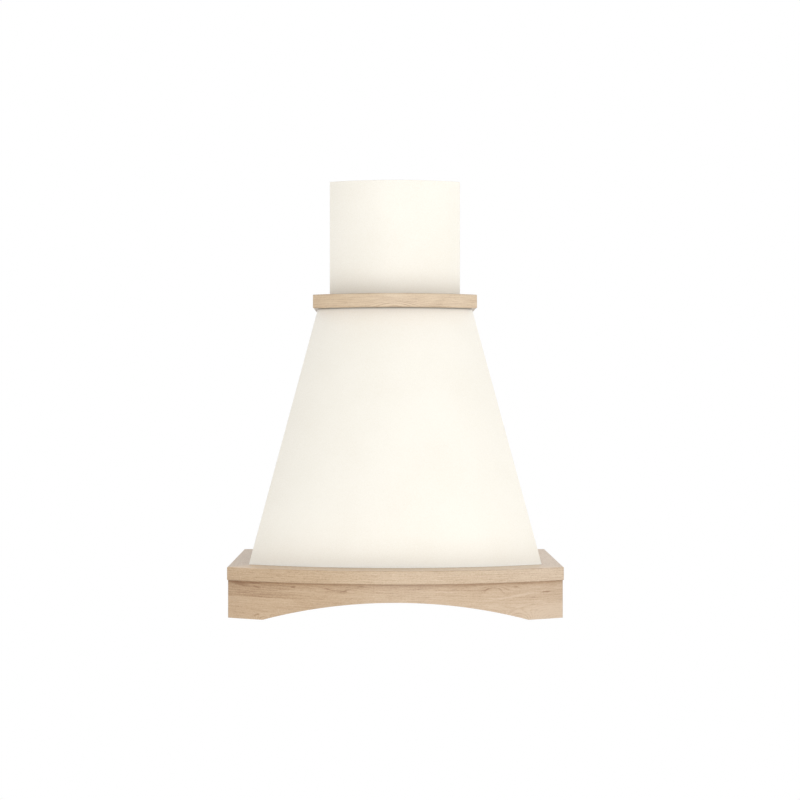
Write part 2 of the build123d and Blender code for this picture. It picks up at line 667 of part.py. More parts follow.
def make_filters():
    low = CENTRE_BAR / 2 + FILTER_GAP
    high = FILTER_HALF - FILTER_GAP
    front = -FILTER_FRONT + FILTER_GAP
    rear = -PIVOT_SETBACK
    top = FILTER_FLOOR + FILTER_THICKNESS
    frame = block(low, high, front, rear, FILTER_FLOOR, top)
    frame = frame + rod((low, rear, PIVOT_HEIGHT), "X", FILTER_THICKNESS / 2, high - low)
    frame = frame - block(
        low + FILTER_RIM, high - FILTER_RIM, front + FILTER_RIM, rear - FILTER_RIM, FILTER_FLOOR, top
    )
    pin_start = (low - FILTER_PIN_LENGTH, rear, PIVOT_HEIGHT)
    frame = frame + rod(pin_start, "X", FILTER_PIN_RADIUS, high - low + 2 * FILTER_PIN_LENGTH)
    middle = (low + high) / 2
    frame = frame + block(
        middle - PULL_WIDTH / 2, middle + PULL_WIDTH / 2, front + PULL_INSET,
        front + PULL_INSET + PULL_DEPTH, FILTER_FLOOR - PULL_DROP, FILTER_FLOOR,
    )
    core_width = high - low - 2 * FILTER_RIM
    core_depth = rear - front - 2 * FILTER_RIM
    columns = int((core_width - FILTER_HOLE_PITCH / 2) / FILTER_HOLE_PITCH)
    rows = int((core_depth - FILTER_HOLE_PITCH / 2) / FILTER_HOLE_PITCH)
    sheet = Rectangle(core_width, core_depth)
    holes = GridLocations(FILTER_HOLE_PITCH, FILTER_HOLE_PITCH, columns, rows) * Circle(FILTER_HOLE_RADIUS)
    core = extrude(sheet - holes, FILTER_CORE)
    core = Pos(middle, (front + rear) / 2, PIVOT_HEIGHT - FILTER_CORE / 2) * core
    return {
        "filter_frame_right": frame,
        "filter_frame_left": mirrored(frame),
        "filter_mesh_right": core,
        "filter_mesh_left": mirrored(core),
    }


def make_lamps():
    nodes = {}
    for side, x in (("left", -LAMP_SPACING / 2), ("right", LAMP_SPACING / 2)):
        face = FLANGE_FLOOR - LAMP_FLANGE
        bezel = rod((x, -STRIP_CENTRE, face), "Z", LAMP_RADIUS, LAMP_FLANGE)
        bezel = bezel + rod((x, -STRIP_CENTRE, FLANGE_FLOOR), "Z", LAMP_BODY_RADIUS, LAMP_HEIGHT)
        bezel = bezel - rod((x, -STRIP_CENTRE, face), "Z", LAMP_LENS_RADIUS, LENS_THICKNESS)
        lens_radius = LAMP_LENS_RADIUS - GLUE_GAP
        nodes["lamp_bezel_" + side] = bezel
        nodes["lamp_lens_" + side] = rod((x, -STRIP_CENTRE, face), "Z", lens_radius, LENS_THICKNESS)
    return nodes


def button_places():
    first = -(BUTTON_COUNT - 1) / 2 * BUTTON_SPACING
    return [first + i * BUTTON_SPACING for i in range(BUTTON_COUNT)]


def make_buttons():
    """Push buttons in the strip, and the switch block that takes their stems."""
    shoulder_floor = MANTEL_TOP + SEAT_GAP
    stem_floor = shoulder_floor + BUTTON_SHOULDER_THICKNESS
    block_floor = MANTEL_TOP + SWITCH_LEG
    switch = block(
        -SWITCH_WIDTH / 2, SWITCH_WIDTH / 2, -STRIP_CENTRE - SWITCH_DEPTH / 2,
        -STRIP_CENTRE + SWITCH_DEPTH / 2, block_floor, block_floor + SWITCH_HEIGHT,
    )
    nodes = {}
    for x in (-SWITCH_WIDTH / 2, SWITCH_WIDTH / 2 - SWITCH_LEG):
        switch = switch + block(
            x, x + SWITCH_LEG, -STRIP_CENTRE - SWITCH_DEPTH / 2, -STRIP_CENTRE + SWITCH_DEPTH / 2,
            MANTEL_TOP, block_floor,
        )
    stem_room = stem_floor + BUTTON_STEM_LENGTH + BUTTON_TRAVEL + BUTTON_OVERTRAVEL - block_floor
    for number, x in enumerate(button_places(), start=1):
        face = FLANGE_FLOOR - BUTTON_PROUD
        button = rod((x, -STRIP_CENTRE, face), "Z", BUTTON_RADIUS, shoulder_floor - face)
        button = button + rod(
            (x, -STRIP_CENTRE, shoulder_floor), "Z", BUTTON_SHOULDER, BUTTON_SHOULDER_THICKNESS
        )
        button = button + rod((x, -STRIP_CENTRE, stem_floor), "Z", BUTTON_STEM_RADIUS, BUTTON_STEM_LENGTH)
        stem_bore = BUTTON_STEM_RADIUS + BUTTON_CLEARANCE
        switch = switch - rod((x, -STRIP_CENTRE, block_floor), "Z", stem_bore, stem_room)
        nodes[f"push_button_{number}"] = button
    nodes["switch_block"] = switch
    return nodes


# ---- Blower -------------------------------------------------------------------------------------------
def scroll_face(inset, top):
    """Spiral of three quarter arcs that opens into an upright channel, round the wheel's axis."""
    grow = SCROLL_GROWTH
    radius = SCROLL_START
    ax, az = -grow / 2, -grow / 2
    bx, bz = ax + grow, az
    cx, cz = bx, bz + grow
    r1 = radius - inset
    r2 = radius + grow - inset
    r3 = radius + 2 * grow - inset
    q = cos(radians(45))
    tongue = ax + SCROLL_TONGUE + inset
    edges = [
        ThreePointArc((ax, az + r1), (ax - q * r1, az + q * r1), (ax - r1, az)),
        ThreePointArc((bx - r2, bz), (bx - q * r2, bz - q * r2), (bx, bz - r2)),
        ThreePointArc((cx, cz - r3), (cx + q * r3, cz - q * r3), (cx + r3, cz)),
        Line((cx + r3, cz), (cx + r3, top)),
        Line((cx + r3, top), (tongue, top)),
        Line((tongue, top), (tongue, az + r1)),
        Line((tongue, az + r1), (ax, az + r1)),
    ]
    return make_face(edges)


def scroll_axis():
    """Setback and height of the wheel's axis, under the duct and below the housing's top plate."""
    channel_low = -SCROLL_GROWTH / 2 + SCROLL_TONGUE
    channel_high = SCROLL_GROWTH / 2 + SCROLL_START + 2 * SCROLL_GROWTH
    setback = DUCT_SETBACK + (channel_low + channel_high) / 2
    height = HOUSING_TOP - SHEET - SCROLL_START - 4 * SCROLL_GROWTH
    return setback, height


def scroll_solid(inset, top, x0, x1):
    """Scroll outline made solid from x0 to x1. Its own plane is (forward, up)."""
    setback, height = scroll_axis()
    plane = Plane(origin=(x0, -setback, height), x_dir=(0, 1, 0), z_dir=(1, 0, 0))
    return extrude(plane * scroll_face(inset, top - height), x1 - x0, dir=(1, 0, 0))


def scroll_channel(top):
    """The channel of the scroll, carried up through the housing's top plate."""
    half = SCROLL_WIDTH / 2 - SCROLL_WALL
    above = slab(HOUSING_TOP - SHEET, top)
    return scroll_solid(SCROLL_WALL, top, -half, half) & above


def make_blower():
    setback, height = scroll_axis()
    half = SCROLL_WIDTH / 2
    top = HOUSING_TOP - SHEET
    shell = scroll_solid(0, top, 0, half) - scroll_solid(SCROLL_WALL, top, 0, half - SCROLL_WALL)
    shell = shell - rod((0, -setback, height), "X", INLET_RADIUS, half)
    bracket_floor = half
    bracket = rod((bracket_floor, -setback, height), "X", MOTOR_FLANGE, BRACKET_THICKNESS)
    for number in range(BRACKET_ARMS):
        turn = Rot(number * 360 / BRACKET_ARMS, 0, 0)
        arm = Pos(bracket_floor, -setback, height) * turn * block(
            0, BRACKET_THICKNESS, -BRACKET_ARM / 2, BRACKET_ARM / 2, 0, BRACKET_REACH
        )
        bracket = bracket + arm
    bracket = bracket - rod(
        (bracket_floor, -setback, height), "X", MOTOR_RADIUS + GLUE_GAP, BRACKET_THICKNESS
    )
    motor_start = bracket_floor + BRACKET_THICKNESS + MOTOR_FLANGE_THICKNESS + MOTOR_PROUD - MOTOR_LENGTH
    motor = rod((motor_start, -setback, height), "X", MOTOR_RADIUS, MOTOR_LENGTH)
    motor = motor + rod(
        (bracket_floor + BRACKET_THICKNESS, -setback, height), "X", MOTOR_FLANGE, MOTOR_FLANGE_THICKNESS
    )
    bore_length = MOTOR_LENGTH - MOTOR_BORE_FLOOR
    motor = motor - rod(
        (motor_start, -setback, height), "X", SHAFT_RADIUS + SHAFT_CLEARANCE, bore_length
    )
    return {
        "blower_shell_right": shell,
        "blower_shell_left": mirrored(shell),
        "motor_bracket": bracket,
        "motor": motor,
        **make_wheel(motor_start + bore_length - SEAT_GAP),
    }


def make_wheel(shaft_end):
    """Double-sided drum wheel on its shaft."""
    setback, height = scroll_axis()
    half = WHEEL_WIDTH / 2
    tube = rod((-half, 0, 0), "X", WHEEL_RADIUS, WHEEL_WIDTH)
    tube = tube - rod((-half, 0, 0), "X", WHEEL_INNER, WHEEL_WIDTH)
    rings = tube - rod((-half + WHEEL_RING, 0, 0), "X", WHEEL_RADIUS, WHEEL_WIDTH - 2 * WHEEL_RING)
    disc = rod((-WHEEL_RING / 2, 0, 0), "X", WHEEL_RADIUS, WHEEL_RING)
    hub = rod((-HUB_LENGTH / 2, 0, 0), "X", HUB_RADIUS, HUB_LENGTH)
    band = WHEEL_RADIUS - WHEEL_INNER
    middle = (WHEEL_RADIUS + WHEEL_INNER) / 2
    blade_shape = Rectangle(band - 2 * BLADE_INSET, BLADE_THICKNESS)
    blade_face = Plane.YZ * Pos(middle, 0) * Rot(0, 0, BLADE_TILT) * blade_shape
    blade = Pos(-half, 0, 0) * extrude(blade_face, WHEEL_WIDTH, dir=(1, 0, 0))
    blades = [Rot(i * 360 / BLADE_COUNT, 0, 0) * blade for i in range(BLADE_COUNT)]
    wheel = (rings + disc + hub + blades) - rod((-half, 0, 0), "X", SHAFT_RADIUS, WHEEL_WIDTH)
    place = Pos(0, -setback, height)
    shaft = rod((-HUB_LENGTH / 2, 0, 0), "X", SHAFT_RADIUS, shaft_end + HUB_LENGTH / 2)
    return {"impeller": place * wheel, "fan_shaft": place * shaft}


def make_collar():
    """Duct spigot with a ledge and a cross bar for its two flaps."""
    flange = block(
        -COLLAR_FLANGE / 2, COLLAR_FLANGE / 2, -DUCT_SETBACK - COLLAR_FLANGE / 2,
        -DUCT_SETBACK + COLLAR_FLANGE / 2, HOUSING_TOP, HOUSING_TOP + COLLAR_FLANGE_THICKNESS,
    )
    inner = DUCT_RADIUS - COLLAR_WALL
    floor = (0, -DUCT_SETBACK, HOUSING_TOP)
    collar = flange + rod(floor, "Z", DUCT_RADIUS, COLLAR_HEIGHT)
    collar = collar - rod(floor, "Z", inner, COLLAR_HEIGHT)
    ledge_top = FLAP_HEIGHT - FLAP_THICKNESS / 2 - SEAT_GAP
    ledge_floor = (0, -DUCT_SETBACK, ledge_top - FLAP_LEDGE_HEIGHT)
    ledge = rod(ledge_floor, "Z", inner, FLAP_LEDGE_HEIGHT)
    ledge = ledge - rod(ledge_floor, "Z", inner - FLAP_LEDGE, FLAP_LEDGE_HEIGHT)
    bar = block(
        -inner, inner, -DUCT_SETBACK - FLAP_BAR / 2, -DUCT_SETBACK + FLAP_BAR / 2,
        ledge_top - FLAP_LEDGE_HEIGHT, FLAP_HEIGHT + FLAP_PIN_RADIUS,
    )
    collar = collar + ledge + (bar & rod(floor, "Z", inner, COLLAR_HEIGHT))
    for y in (-FLAP_AXIS_OFFSET, FLAP_AXIS_OFFSET):
        collar = collar - rod(
            (-DUCT_RADIUS, -DUCT_SETBACK + y, FLAP_HEIGHT), "X",
            FLAP_PIN_RADIUS + SHAFT_CLEARANCE, 2 * DUCT_RADIUS,
        )
    nodes = {"outlet_collar": collar}
    for name, side in (("rear", 1), ("front", -1)):
        nodes["damper_flap_" + name] = make_flap(side)
    return nodes


def make_flap(side):
    """Half-disc flap with its pin, on the wall side (1) or the room side (-1) of the collar."""
    axis_y = -DUCT_SETBACK + side * FLAP_AXIS_OFFSET
    disc = rod(
        (0, -DUCT_SETBACK, FLAP_HEIGHT - FLAP_THICKNESS / 2), "Z", FLAP_RADIUS, FLAP_THICKNESS
    )
    reach = side * 2 * FLAP_RADIUS
    half_space = block(
        -FLAP_RADIUS, FLAP_RADIUS, min(axis_y, axis_y + reach), max(axis_y, axis_y + reach),
        HOUSING_TOP, CHIMNEY_TOP,
    )
    pin_half = DUCT_RADIUS - SEAT_GAP
    pin = rod((-pin_half, axis_y, FLAP_HEIGHT), "X", FLAP_PIN_RADIUS, 2 * pin_half)
    return (disc & half_space) + pin


def make_terminal_box():
    """Box on the pan's shoulder beside the chamber, with a gland for the mains lead."""
    y = -DUCT_SETBACK
    half = TERMINAL_SIZE / 2
    middle = CHAMBER_WIDTH / 2 + TERMINAL_GAP + half
    box = block(middle - half, middle + half, y - half, y + half, PAN_TOP, PAN_TOP + TERMINAL_HEIGHT)
    inner = half - TERMINAL_WALL
    hollow = block(
        middle - inner, middle + inner, y - inner, y + inner,
        PAN_TOP + TERMINAL_WALL, PAN_TOP + TERMINAL_HEIGHT - TERMINAL_WALL,
    )
    gland_height = PAN_TOP + TERMINAL_HEIGHT / 2
    box = box - hollow - rod((middle + inner, y, gland_height), "X", GLAND_BORE, TERMINAL_WALL)
    gland_start = (middle + half, y, gland_height)
    gland = rod(gland_start, "X", GLAND_RADIUS, GLAND_LENGTH)
    gland = gland - rod(gland_start, "X", GLAND_BORE, GLAND_LENGTH)
    return {"terminal_box": box, "cable_gland": gland}


def write(name, shape):
    """One node to one STEP file, lowered so that the origin is the middle wall screw hole."""
    pieces = shape if isinstance(shape, list) else [shape]
    solids = [solid for piece in pieces for solid in piece.solids()]
    moved = [Pos(0, 0, -CLEAT_HOLE_HEIGHT) * solid for solid in solids]
    whole = moved[0] if len(moved) == 1 else Compound(children=moved)
    whole.label = name
    export_step(whole, f"parts/{name}.step")


def main():
    os.makedirs("parts", exist_ok=True)
    inside = bowed_block(BODY_PANEL + GLUE_GAP) & side_wedge(BODY_PANEL)
    nodes = {
        **make_mantel(),
        **make_apron(),
        **make_body(inside),
        **make_formers(inside),
        **make_rails(),
        **make_neck(),
        **make_chimney(),
        **make_insert(),
        **make_filters(),
        **make_lamps(),
        **make_buttons(),
        **make_blower(),
        **make_collar(),
        **make_terminal_box(),
    }
    for name, shape in nodes.items():
        write(name, shape)
    print(len(nodes), "nodes")


main()
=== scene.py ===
import json
import math
from typing import NamedTuple

import bmesh
import bpy
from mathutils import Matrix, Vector

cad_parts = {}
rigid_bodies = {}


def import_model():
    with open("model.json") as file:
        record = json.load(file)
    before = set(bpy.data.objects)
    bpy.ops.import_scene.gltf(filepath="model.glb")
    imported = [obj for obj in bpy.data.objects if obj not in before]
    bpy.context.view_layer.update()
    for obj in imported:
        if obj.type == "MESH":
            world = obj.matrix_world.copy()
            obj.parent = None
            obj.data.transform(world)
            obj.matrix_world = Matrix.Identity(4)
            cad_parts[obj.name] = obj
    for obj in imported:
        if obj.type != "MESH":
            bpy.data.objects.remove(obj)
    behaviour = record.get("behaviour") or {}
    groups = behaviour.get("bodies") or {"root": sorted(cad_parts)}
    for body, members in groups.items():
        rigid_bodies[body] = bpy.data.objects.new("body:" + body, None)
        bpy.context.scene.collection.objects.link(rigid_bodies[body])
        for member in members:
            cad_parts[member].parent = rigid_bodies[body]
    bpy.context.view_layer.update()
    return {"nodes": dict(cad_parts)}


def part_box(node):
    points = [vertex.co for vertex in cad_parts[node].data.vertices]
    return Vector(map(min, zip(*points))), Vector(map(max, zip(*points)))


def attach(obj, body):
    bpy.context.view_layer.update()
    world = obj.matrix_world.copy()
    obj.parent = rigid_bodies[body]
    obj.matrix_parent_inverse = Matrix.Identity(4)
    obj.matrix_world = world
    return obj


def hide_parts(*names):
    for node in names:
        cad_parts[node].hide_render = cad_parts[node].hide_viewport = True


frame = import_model()

# Looks of the bow-fronted hood cover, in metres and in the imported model's frame: X to the right, the bowed
# front faces -Y, the wall is Y = 0 and the feet of the base band are the lowest points.

# ---- Camera and light
CAMERA_PLACE = (-0.0158, -3.807, 0.1086)
CAMERA_LENS = 85.7
CAMERA_SHIFT = (0.0168, 0.0016)
WORLD_LIGHT = 0.690          # strength of the white surround as light, and how it leans to one side
WORLD_LEAN = (0.06, -0.08, -0.12)
LAMPS = (                    # name, place, size, power
    ("key", (2.6, -3.4, 1.0), 2.6, 19.0),
    ("front", (0.0, -3.9, 0.35), 1.8, 14.5),
    ("low_fill", (0.3, -3.6, -1.08), 2.2, 35.0),
)
LAMP_AIM = (0.0, -0.25, 0.05)
FLOOR_HEIGHT = -3.0          # the cover hangs on a wall, far above the floor
FLOOR_RADIUS = 10.0
FLOOR_COLOUR = (0.92, 0.92, 0.92, 1.0)
FLOOR_LIFT = 0.33            # what the floor's own shade lacks to be white in view

# ---- Sizes of texture
RING_PITCH = 0.0031          # growth rings of the oak
SOFTWOOD_PITCH = 0.0062      # growth rings of the pine
PLY_PITCH = 0.0014           # veneers of the plywood
STAVE_HEIGHT = 0.039         # lower stave of the apron, above its feet
LOG_WANDER = 0.016           # how far the middle of a log wanders
TINT_SPAN = 0.6              # width over which a board's three tints run, the mantel's own
TINT_STOPS = (0.05, 0.5, 0.95)
LEVEL_FROM = 0.6             # upward part of a normal from which a face begins to count as level, and does
LEVEL_FULL = 0.8
PAINT_TURN = 0.001           # softness of the change from the painted side of a panel to the bare one
EDGE_RADIUS = 0.0009         # eased edges in the shading of boards
METAL_EDGE = 0.0005          # and of metal and plastic
LENS_RINGS = 0.0009          # moulded rings of a lens

# ---- Sizes of small parts. A profile's rows are (radius or step outward, height).
ROUND = 48                   # sides of a turned part
FINE_ROUND = 96              # of the larger ones
SHARP_ANGLE = 32.0           # degrees from which an edge stays sharp in the shading
SMALL = 0.0001               # radius of the flat middle of a turned end
MESH_LAYERS = (              # layers of a filter's core, from below: length and width of the diamonds, width
    (0.0150, 0.0074, 0.0013, False),    # of the strands, and whether the layer is turned round
    (0.0100, 0.0048, 0.0008, True),
    (0.0150, 0.0074, 0.0013, False),
)
MESH_SHEET = 0.0005          # thickness of a strand
MESH_BOND = 0.30             # length of a bond, as a share of half a diamond
MESH_TILT = 0.3              # how far bonds lie up and down in turn, as a share of the strand's thickness
MESH_END = 0.15              # spare length at a strand's end, as a share of a diamond
SCREW_HEAD = 0.0040          # radius, height and shank of the insert's screws
SCREW_HEAD_HEIGHT = 0.0020
SCREW_SHANK = 0.0018
SCREW_FACE = (0.08, 0.16, 0.28, 0.4, 0.5, 0.56, 0.6)    # rings of the head's face, as shares of its radius
SCREW_CAMBER = 0.35          # how far the face curves back, as a share of the head's height
SCREW_EDGE = ((0.85, 0.28), (0.97, 0.6), (1.0, 1.0))    # rounded edge, as shares of radius and height
SCREW_ROUND = 64
RECESS_REACH = 0.0023        # cross recess of a screw
RECESS_ARM = 0.00055
RECESS_DEPTH = 0.0011
BUTTON_RADIUS = 0.0050
BUTTON_FACE = (              # dished face of the cap, out to its eased rim
    (SMALL, 0.0007), (0.0016, 0.0006), (0.0030, 0.0003), (0.0040, 0.0001), (0.0044, 0.0),
    (0.0048, 0.0001), (BUTTON_RADIUS, 0.0005),
)
BUTTON_CAP = 0.0053          # cap's height up to its shoulder
BUTTON_SHOULDER = 0.0015
BUTTON_STEM = 0.0020
BUTTON_EASE = 0.0004         # eased end of the stem
BEZEL_FLANGE = 0.0015
BEZEL_BODY = 0.0188
BEZEL_EASE = 0.0008          # eased top of the body
BEZEL_LIP = ((0.0, 0.0008), (0.0004, 0.0002), (0.0010, 0.0))         # rim's inner edge, from the lens's seat
BEZEL_ROLL = ((-0.0014, 0.0), (-0.0004, 0.0003), (0.0, 0.0009))      # its outer edge, from the rim
BEZEL_GROOVES = (0.35, 0.55, 0.75)       # heights of the body's grooves, as shares of the bezel's
BEZEL_GROOVE = ((0.0, 0.0), (-0.0006, 0.0004), (-0.0006, 0.0010), (0.0, 0.0014))     # profile of one
LENS_SEAT = 0.0160
LENS_DEPTH = 0.0020
LENS_FACE = (0.25, 0.5, 0.75, 0.92)      # rings of the lens's face, as shares of its radius
LENS_DOME = 0.0006           # how far the face curves back
LENS_EASE = 0.0009           # eased edge of the lens
GLAND_BORE = 0.0035
GLAND_MOUTH = 0.0012         # wall of the mouth
GLAND_FOOT = 0.30            # the foot, the waist, the nut and the taper end at these shares of the length
GLAND_WAIST_END = 0.42
GLAND_NUT_END = 0.82
GLAND_TAPER_END = 0.92
GLAND_WAIST = 0.72           # radii as shares of the foot's
GLAND_TAPER = 0.80
GLAND_RIBS = 24
GLAND_RIB = 0.0003           # depth of the nut's ribs
MOTOR_BODY = 0.0380
MOTOR_BORE = 0.0043
MOTOR_BORE_DEPTH = 0.0680
MOTOR_EASE = 0.0020          # eased edge of the near end
MOTOR_FLANGE = (0.0470, 0.0500)
MOTOR_MARGINS = (0.006, 0.004, 0.003, 0.010)    # plain lengths before and behind the two rows of ribs
RIB_PITCH = 0.0050
MOTOR_GROOVE = ((0.0, 0.0), (-0.0018, 0.0006), (-0.0018, 0.0024), (0.0, 0.0030))     # between two ribs
MOTOR_END = ((0.0, -0.006), (-0.0018, -0.0018), (-0.006, 0.0))       # rounded far end
MOTOR_DISH = (0.012, 0.011, 0.001)       # two radii and the depth of the far end's dish


def srgb(red, green, blue):
    """Linear colour of a display colour given in 0 to 255."""
    linear = [c / 255 / 12.92 if c <= 10 else ((c / 255 + 0.055) / 1.055) ** 2.4 for c in (red, green, blue)]
    return (*linear, 1.0)


# ---- Node trees --------------------------------------------------------------------------------------
class Tree:
    """One material, built with short calls. A value is a number, a colour or another node's output."""

    def __init__(self, name):
        self.material = bpy.data.materials.new(name)
        self.material.use_nodes = True
        self.nodes = self.material.node_tree.nodes
        self.links = self.material.node_tree.links
        self.nodes.clear()
        self.shader = self.add("ShaderNodeBsdfPrincipled")
        output = self.add("ShaderNodeOutputMaterial")
        self.links.new(self.shader.outputs[0], output.inputs["Surface"])
        coordinates = self.add("ShaderNodeTexCoord")
        self.point = coordinates.outputs["Object"]
        self.normal = coordinates.outputs["Normal"]

    def add(self, kind, inputs=None, **settings):
        node = self.nodes.new(kind)
        for key, value in settings.items():
            setattr(node, key, value)
        for key, value in (inputs or {}).items():
            self.feed(node.inputs[key], value)
        return node

    def feed(self, socket, value):
        if isinstance(value, bpy.types.NodeSocket):
            self.links.new(value, socket)
        else:
            socket.default_value = value

    def finish(self, **values):
        """Sets the shader's own sockets; a name's underscores stand for spaces."""
        for key, value in values.items():
            self.feed(self.shader.inputs[key.replace("_", " ")], value)
        return self.material

    def math(self, operation, first, second=0.0):
        return self.add("ShaderNodeMath", {0: first, 1: second}, operation=operation).outputs[0]

    def scaled(self, value, factor, offset=0.0):
        """value * factor + offset."""
        node = self.add("ShaderNodeMath", {0: value, 1: factor, 2: offset}, operation="MULTIPLY_ADD")
        return node.outputs[0]

    def steps(self, value, low, high):
        """Smooth step from 0 to 1 as the value goes from low to high."""
        node = self.add("ShaderNodeMapRange", {0: value, 1: low, 2: high}, interpolation_type="SMOOTHSTEP")
        return node.outputs[0]

    def axes(self, socket):
        """The three parts of a vector or a colour."""
        split = self.add("ShaderNodeSeparateXYZ", {0: socket})
        return [split.outputs[i] for i in range(3)]

    def vector(self, x, y, z):
        return self.add("ShaderNodeCombineXYZ", {0: x, 1: y, 2: z}).outputs[0]

    def noise(self, vector, scale=1.0, detail=2.0, roughness=0.5):
        return self.add(
            "ShaderNodeTexNoise",
            {"Vector": vector, "Scale": scale, "Detail": detail, "Roughness": roughness},
        )

    def grey_noise(self, vector, scale=1.0, detail=2.0, roughness=0.5):
        return self.noise(vector, scale, detail, roughness).outputs[0]

    def mix(self, factor, first, second, blend="MIX"):
        node = self.add("ShaderNodeMix", data_type="RGBA", blend_type=blend)
        self.feed(node.inputs[0], factor)
        self.feed(node.inputs[6], first)
        self.feed(node.inputs[7], second)
        return node.outputs[2]

    def ramp(self, factor, stops):
        """Colour ramp through (place, colour) stops."""
        node = self.add("ShaderNodeValToRGB", {0: factor})
        elements = node.color_ramp.elements
        while len(elements) < len(stops):
            elements.new(0.5)
        for element, (place, colour) in zip(elements, stops):
            element.position = place
            element.color = colour
        return node.outputs[0]

    def tinted(self, colour, tint):
        return self.mix(1.0, colour, tint, "MULTIPLY")

    def bump(self, height, distance, strength=1.0, edge=0.0):
        """Bump of a height, over edges eased by a radius."""
        node = self.add("ShaderNodeBump", {"Height": height, "Distance": distance, "Strength": strength})
        if edge:
            eased = self.add("ShaderNodeBevel", {"Radius": edge}, samples=4)
            self.feed(node.inputs["Normal"], eased.outputs[0])
        return node.outputs[0]


# ---- Where the grain runs ----------------------------------------------------------------------------
def bow_of(front, side):
    """Centre and radius, seen from above, of a bowed front board that meets a straight side board."""
    low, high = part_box(front)
    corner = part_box(side)[0].y
    half, rise = high.x, corner - low.y
    radius = (half**2 + rise**2) / (2 * rise)
    return low.y + radius, radius


def round_bow(tree, bow):
    """Length round a bow, and how far inside it a point lies."""
    x, y, _ = tree.axes(tree.point)
    centre, radius = bow
    back = tree.math("SUBTRACT", y, centre)
    forward = tree.math("MULTIPLY", back, -1.0)
    reach = tree.math("SQRT", tree.math("ADD", tree.math("POWER", x, 2.0), tree.math("POWER", back, 2.0)))
    length = tree.scaled(tree.math("ARCTAN2", x, forward), radius)
    return length, tree.math("SUBTRACT", radius, reach)


def board_axes(tree, along, bow=None):
    """Length along the grain, height and depth of a point on a board."""
    x, y, z = tree.axes(tree.point)
    if bow:
        length, depth = round_bow(tree, bow)
        return length, z, depth
    return {"X": (x, z, y), "Y": (y, z, x), "Z": (z, x, y)}[along]


def lies_level(tree):
    """1 where the surface looks up or down, and 0 where it looks aside."""
    return tree.steps(tree.math("ABSOLUTE", tree.axes(tree.normal)[2]), LEVEL_FROM, LEVEL_FULL)


# ---- Oak ---------------------------------------------------------------------------------------------
OAK_LIGHT = srgb(223, 205, 181)
OAK_MIDDLE = srgb(208, 186, 159)
OAK_DARK = srgb(172, 144, 116)
OAK_PORE = srgb(122, 94, 76)
WHITE = (1.0, 1.0, 1.0, 1.0)
OAK_GRAIN = {                # waves a metre along and across the grain, octaves and roughness of each noise
    "drift": (1.1, 9.0),
    "patch": (4.0, 26.0),
    "streak": (24.0, 330.0, 3.0),
    "fibre": (95.0, 620.0, 2.0, 0.7),
    "speck": (330.0, 470.0, 1.0),
    "pore": (130.0, 2600.0, 1.0),
    "fleck": (38.0, 230.0, 1.0),
}


class Tone(NamedTuple):
    """How the tone of an oak board runs, against the palest oak, with the light and shade that are painted
    into it.
    """

    tints: tuple = ((1.0, 1.0, 1.0),) * 3    # at its left end, middle and right end
    top: tuple = (1.0, 1.0, 1.0)             # painted light on faces that look up
    under: float = 1.0                       # painted shade on faces that look down
    joint: float = None                      # height of a joint, with painted shade on the faces near it
    lip_shades: tuple = ()                         # heights of edges, each with its painted line of shade
    foot: tuple = None                       # bow in which another piece stands on the board, with painted shade round it


def figure(tree, length, height, depth, seed, pith, lean, knots):
    """Distance from the pith of a gently crooked log, drawn aside round each knot, and nearness to a knot."""
    slow = tree.noise(tree.vector(tree.scaled(length, 2.6, seed), tree.scaled(height, 15.0),
                                  tree.scaled(depth, 15.0)), detail=2.0)
    aside = tree.axes(slow.outputs[1])
    across = tree.math("ADD", height, tree.scaled(aside[0], LOG_WANDER, -LOG_WANDER / 2 - pith[0]))
    inward = tree.math("ADD", depth, tree.scaled(aside[1], LOG_WANDER, -LOG_WANDER / 2 - pith[1]))
    across = tree.math("ADD", across, tree.scaled(length, lean))
    rings = tree.math("SQRT", tree.math("ADD", tree.math("POWER", across, 2.0),
                                        tree.math("POWER", inward, 2.0)))
    nearness = 0.0
    for place, level, reach, rise, pull in knots:
        near = tree.math("POWER", tree.scaled(length, 1 / reach, -place / reach), 2.0)
        near = tree.math("ADD", near, tree.math("POWER", tree.scaled(height, 1 / rise, -level / rise), 2.0))
        bulge = tree.math("EXPONENT", tree.math("MULTIPLY", near, -1.0))
        rings = tree.math("ADD", rings, tree.scaled(bulge, pull))
        nearness = tree.math("MAXIMUM", bulge, nearness)
    return rings, nearness


def grain(tree, axes, seed, along, across, detail=2.0, roughness=0.6):
    """Noise drawn out along the grain: so many waves a metre along and across it."""
    length, height, depth = axes
    place = tree.vector(tree.scaled(length, along, seed), tree.scaled(height, across),
                        tree.scaled(depth, across))
    return tree.grey_noise(place, detail=detail, roughness=roughness)


# Painted shade and painted light along joints, where the parts shade each other: the tint in the joint, and
# how far it fades out over the face
APRON_SHADE = ((0.605, 0.485, 0.355), 0.0038)   # painted shade on the apron's top, under the mantel
FOOT_SHADE = ((0.61, 0.53, 0.44), 0.009)        # painted shade on the mantel's top, round the body's foot
MANTEL_LIP_SHADE = ((0.60, 0.48, 0.38), 0.0007)       # painted shade at the mantel's lower edge
NECK_LIP_SHADE = ((1.06, 0.88, 0.66), 0.0007)         # painted warm shade at the neck band's lower edge
NECK_RIM_SHADE = ((0.58, 0.52, 0.44), 0.0007)         # painted shade at its upper edge
PANEL_SHADE = ((0.02, 0.02, 0.01), 0.0014)      # painted shadow: a near-black line at the body's top, under the neck band
PANEL_PAINTED_LIGHT = ((1.06, 1.10, 1.18), 0.018)        # painted light: lighter paint round that line
PANEL_FOOT_LIGHT = ((1.06, 1.10, 1.15), 0.005)        # painted light: lighter paint at the body's foot


